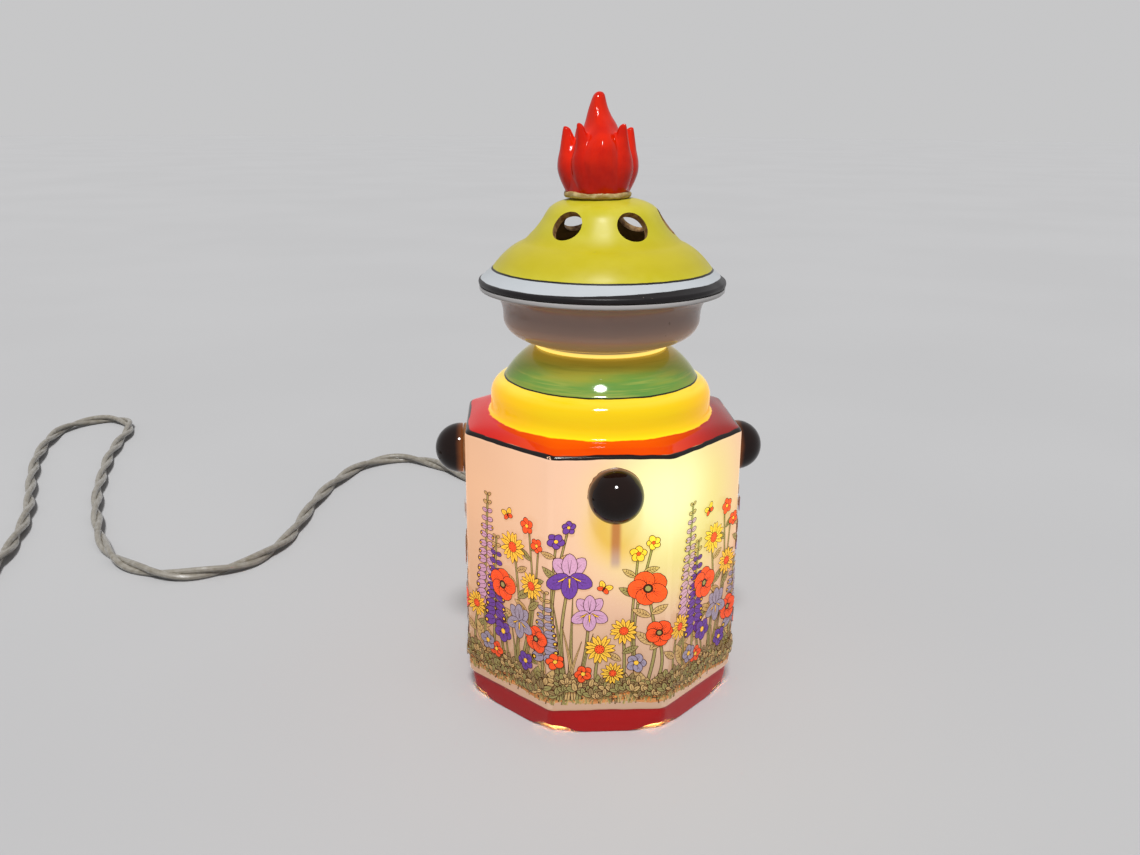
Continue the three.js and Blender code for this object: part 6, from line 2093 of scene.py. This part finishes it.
class Lead(Assembly):
    """The twisted lead with its bush, coil, tie and plug."""

    def build(self) -> None:
        line = [*through(self._run()), *self._coil()]
        lead = wires("twisted_lead", twisted(line, STRAND_OFFSET, TWIST_PITCH), STRAND_R, INSULATION)
        self.add(lead, "cord_run", "cord_coil", slot="clear_lead")
        pieces = [self._bush(), refinished("coil_tie", FLEX_PLASTIC), *self._plug()]
        [tuple(p * MM) for p in line]
        self._inner()

    @staticmethod
    def _run() -> list[Vector]:
        """The lead's way out of the bush, over the table and up to the coil.

        Returns:
            The points that it goes through.
        """
        drop = HOLE_Z - REST_Z
        climb = COIL_LOW_Z - REST_Z
        start, side = COIL_Y + 8, COIL_X + COIL_R
        points = [
            (HOLE_X, LEAD_JOIN_Y, HOLE_Z), (HOLE_X, BUSH_END_Y, HOLE_Z), (HOLE_X, BUSH_END_Y + 14, HOLE_Z),
            (HOLE_X - 0.5, BUSH_END_Y + 28, REST_Z + 0.82 * drop),
            (HOLE_X - 1.5, BUSH_END_Y + 44, REST_Z + 0.4 * drop),
            (HOLE_X - 4, BUSH_END_Y + 60, REST_Z + 0.08 * drop),
            *((x, y, REST_Z) for x, y in ROUTE),
            (side - 4, start + 49, REST_Z + 0.15 * climb), (side - 1, start + 27, REST_Z + 0.75 * climb),
            (side, start + 13, COIL_LOW_Z), (side, start, COIL_LOW_Z),
        ]
        return [Vector(p) for p in points]

    @staticmethod
    def _coil() -> list[Vector]:
        """Round inwards, up a layer and outwards again, and on to the plug.

        Returns:
            The points of the line.
        """
        line = [Vector((COIL_X + COIL_R, COIL_Y + 4, COIL_LOW_Z))]
        tight = COIL_R - 1.5 * COIL_PITCH
        for i in range(0, 3 * 90 + 46):
            turn = i / 90
            back = turn - 1.5
            radius = COIL_R - COIL_PITCH * turn if back <= 0 else tight + COIL_PITCH * (back - 0.5)
            if 0 < back < 0.5:
                radius = tight - COIL_PITCH * back + 2 * COIL_PITCH * back ** 2
            rise = min(1.0, max(0.0, back * 2))
            height = COIL_LOW_Z + COIL_PITCH * rise * rise * (3 - 2 * rise)
            angle = -2 * math.pi * turn
            across, along = radius * math.cos(angle), radius * math.sin(angle)
            line.append(Vector((COIL_X + across, COIL_Y + along, height)))
        top = COIL_LOW_Z + COIL_PITCH
        for i in range(1, 19):
            past = TAIL * i / 18
            share = min(1.0, past / (TAIL - 8))
            height = top + (PLUG_Z - top) * share * share * (3 - 2 * share)
            line.append(Vector((COIL_X - COIL_R, COIL_Y + past, height)))
        return line

    def _bush(self) -> Piece:
        """Makes the ribbed bush in the rear wall.

        Returns:
            The object.
        """
        line = Line(3.3, 44.3).to((4.3, 44.3), (5.3, 44.9), (5.3, 45.7), (4.3, 45.7), (4.3, 50.1))
        line.to((6.9, 50.1), (6.9, 51.7), (5.3, 52.7))
        for i in range(6):
            z = 54.5 + 3.4 * i
            outer = 5.3 - 0.16 * (i + 1)
            line.to((outer, z), (outer - 0.55, z + 0.3), (outer - 0.55, z + 0.9), (outer - 0.05, z + 1.2))
        line.to((4.3, BUSH_END_Y), (3.3, BUSH_END_Y), (3.3, 44.3))
        return self.turned(
            "lead_bush", line.points, FLEX_PLASTIC, "cord_bush", slot="flex_plastic",
            segments=48, soften=0.12, place=Matrix.Translation((HOLE_X, 0, HOLE_Z)) @ ALONG_Y,
        )

    def _inner(self) -> None:
        """Makes the lead from the bush to the lampholder."""
        points = [
            *((HOLE_X, y, HOLE_Z) for y in (59.8, 49.8, 42.6, 39.0)),
            (-10.5, 28.9, 8.4), (-3.5, 14.5, 4.1), (0, 3.8, 7.5), (0, 0, 13.1), (0, 0, 18.6), (0, 0, 29.0),
        ]
        strands = twisted(through([Vector(p) for p in points]), STRAND_OFFSET - 0.1, 30.0)
        self.add(wires("inner_flex", strands, STRAND_R, INSULATION), "inner_lead", slot="clear_lead")

    def _plug(self) -> list[Piece]:
        """Makes the flat plug with its boot and pins.

        Returns:
            Its four pieces.
        """
        start = Vector((COIL_X - COIL_R, COIL_Y + TAIL + 0.3, PLUG_Z))
        back, face = 20.3, 55.3
        boot = self.turned(
            "plug_sleeve", self._boot_profile(back), PLUG_PLASTIC, "plug_boot", slot="plug_plastic",
            segments=48, soften=0.1, place=Matrix.Translation(start) @ ALONG_Y,
        )
        shell = Shape().prism(self._plug_outline(back, face), 2 * PLUG_Z).soften(1.5, 50.0, 4)
        shell.move(Matrix.Translation(start - Vector((0, 0, PLUG_Z))))
        piece = shell.made("plug_shell", PLUG_PLASTIC.material())
        sockets, pins = [], []
        for aside in (-PIN_ASIDE, PIN_ASIDE):
            tool = Shape().lathe([(0, -5), (PIN_R + 0.3, -5), (PIN_R + 0.3, 5), (0, 5)], 32)
            tool.move(Matrix.Translation(start + Vector((aside, face, 0))) @ ALONG_Y)
            sockets.append(tool.made("socket", PLUG_PLASTIC.material()))
        body = self.add(carved(piece, sockets), "plug_body", slot="plug_plastic")
        for aside, name in ((-PIN_ASIDE, "left"), (PIN_ASIDE, "right")):
            pin = Line(0, 50.6).to((PIN_R, 50.6), (PIN_R, 73.0)).curve((PIN_R, 74.3), (0, 74.3), steps=6)
            pins.append(self.turned(
                f"plug_{name}_pin", pin.points, NICKEL, f"plug_pin_{name}", slot="nickel", segments=32,
                soften=0.0, place=Matrix.Translation(start + Vector((aside, 0, 0))) @ ALONG_Y,
            ))
        return [boot, body, *pins]

    @staticmethod
    def _boot_profile(back: float) -> list[Point]:
        """Profile of the plug's ribbed boot, which ends just inside the plug.

        Args:
            back: where the plug starts.

        Returns:
            The profile.
        """
        boot = Line(0, 0).to((3.6, 0)).curve((3.9, 0), (3.9, 0.5), steps=3)
        for i in range(5):
            z = 2.6 + 3.3 * i
            outer = 3.9 + 0.075 * z
            boot.to((outer, z), (outer - 0.45, z + 0.4), (outer - 0.45, z + 1.3), (outer + 0.1, z + 1.7))
        return boot.to((5.4, back - 0.3), (0, back - 0.3)).points

    @staticmethod
    def _plug_outline(back: float, face: float) -> list[Point]:
        """Outline of the plug from above, from its neck to the face that the pins stand on.

        Args:
            back: where it starts, along the plug.
            face: where the pins stand on it.

        Returns:
            The outline.
        """
        half, neck, corner = 17.65, 6.5, 4.5
        right = Line(neck - 1.2, back).curve((neck, back), (neck + 0.5, back + 0.8), steps=3)
        right.curve((0.76 * half, back + 8.75), (half, back + 19.25), steps=10)
        right.to((half, face - corner)).curve((half, face), (half - corner, face), steps=6)
        return [*right.points, *((-x, y) for x, y in reversed(right.points))]


class Studio:
    """Camera, floor and light."""

    EYE = Vector((-30.861, -357.771, 213.3))
    RIGHT = Vector((0.99858, -0.05295, 0.00632))
    UP = Vector((0.00994, 0.30127, 0.95349))
    AHEAD = Vector((0.05240, 0.95207, -0.30137))
    LENS = 31.58
    SENSOR = 36.0
    PALE = (0.57, 0.57, 0.575)
    FLOOR_BOUNCE = (0.20, 0.20, 0.20)
    WORLD_LIGHT = (0.27, 0.27, 0.275)
    FLOOR_R = 9000.0
    KEY_STRENGTH = 2.7
    KEY_SPREAD = 11.0
    KEY_AHEAD = Vector((0.04, 0.52, -0.85))
    BULB_POWER = 13.0
    BULB_COLOUR = (1.0, 0.60, 0.24)
    BULB_RADIUS = 8.0
    BULB_Z = 102.0

    def camera(self) -> None:
        """Puts the camera where the photo was taken from."""
        data = bpy.data.cameras.new("camera")
        data.sensor_width = self.SENSOR
        data.lens = self.LENS
        data.clip_start = 0.01
        camera = placed("camera", data)
        axes = Matrix((self.RIGHT, self.UP, -self.AHEAD)).transposed()
        camera.matrix_world = Matrix.Translation(self.EYE * MM) @ axes.to_4x4()
        bpy.context.scene.camera = camera

    def floor(self) -> None:
        """A wide floor, pale where the camera or a reflection shows it."""
        shape = Shape()
        bmesh.ops.create_circle(shape.bm, segments=96, radius=self.FLOOR_R, cap_ends=True)
        shader = Shader("floor")
        cloud = shader.noise(300.0, 2.0).step(0.3, 0.7, 0.97, 1.0)
        pale = shader.blend(Glow.NO_LIGHT, self.PALE, cloud)
        colour = shader.blend(self.FLOOR_BOUNCE, pale, shader.seen())
        floor = shape.made("floor", shader.finish(Base_Color=colour, Roughness=0.7, Specular_IOR_Level=0.1))

    def lights(self) -> None:
        """One soft overhead light, the bulb's own light, and the even light all round."""
        key = bpy.data.lights.new("key", "SUN")
        key.energy = self.KEY_STRENGTH
        key.angle = math.radians(self.KEY_SPREAD)
        placed("key", key).rotation_euler = self.KEY_AHEAD.to_track_quat("-Z", "Y").to_euler()
        bulb = bpy.data.lights.new("bulb_light", "POINT")
        bulb.energy = self.BULB_POWER
        bulb.color = self.BULB_COLOUR
        bulb.shadow_soft_size = self.BULB_RADIUS * MM
        placed("bulb_light", bulb).location = (0.0, 0.0, self.BULB_Z * MM)
        self._world()

    def _world(self) -> None:
        """Even light all round; the background that the camera sees is pale."""
        world = bpy.data.worlds.new("studio")
        bpy.context.scene.world = world
        nodes = Nodes(world)
        colour = nodes.blend(self.WORLD_LIGHT, self.PALE, nodes.seen())
        back = nodes.node("ShaderNodeBackground", {"Color": colour})
        out = nodes.tree.nodes.new("ShaderNodeOutputWorld")
        nodes.feed(out.inputs["Surface"], back)


def main() -> None:
    """Builds the whole scene."""
    logging.basicConfig(level=logging.INFO, format="%(name)s: %(message)s")
    bpy.context.scene.view_settings.view_transform = "Standard"
    studio = Studio()
    studio.camera()
    Lead(Body.TOWER).build()
    Tower(Body.TOWER).build()
    Transfer(Body.TOWER).build()
    Dish(Body.DISH).build()
    Lid(Body.LID).build()
    Lampholder(Body.TOWER).build()
    Bulb(Body.BULB).build()
    studio.floor()
    studio.lights()


if __name__ == "__main__":
    main()
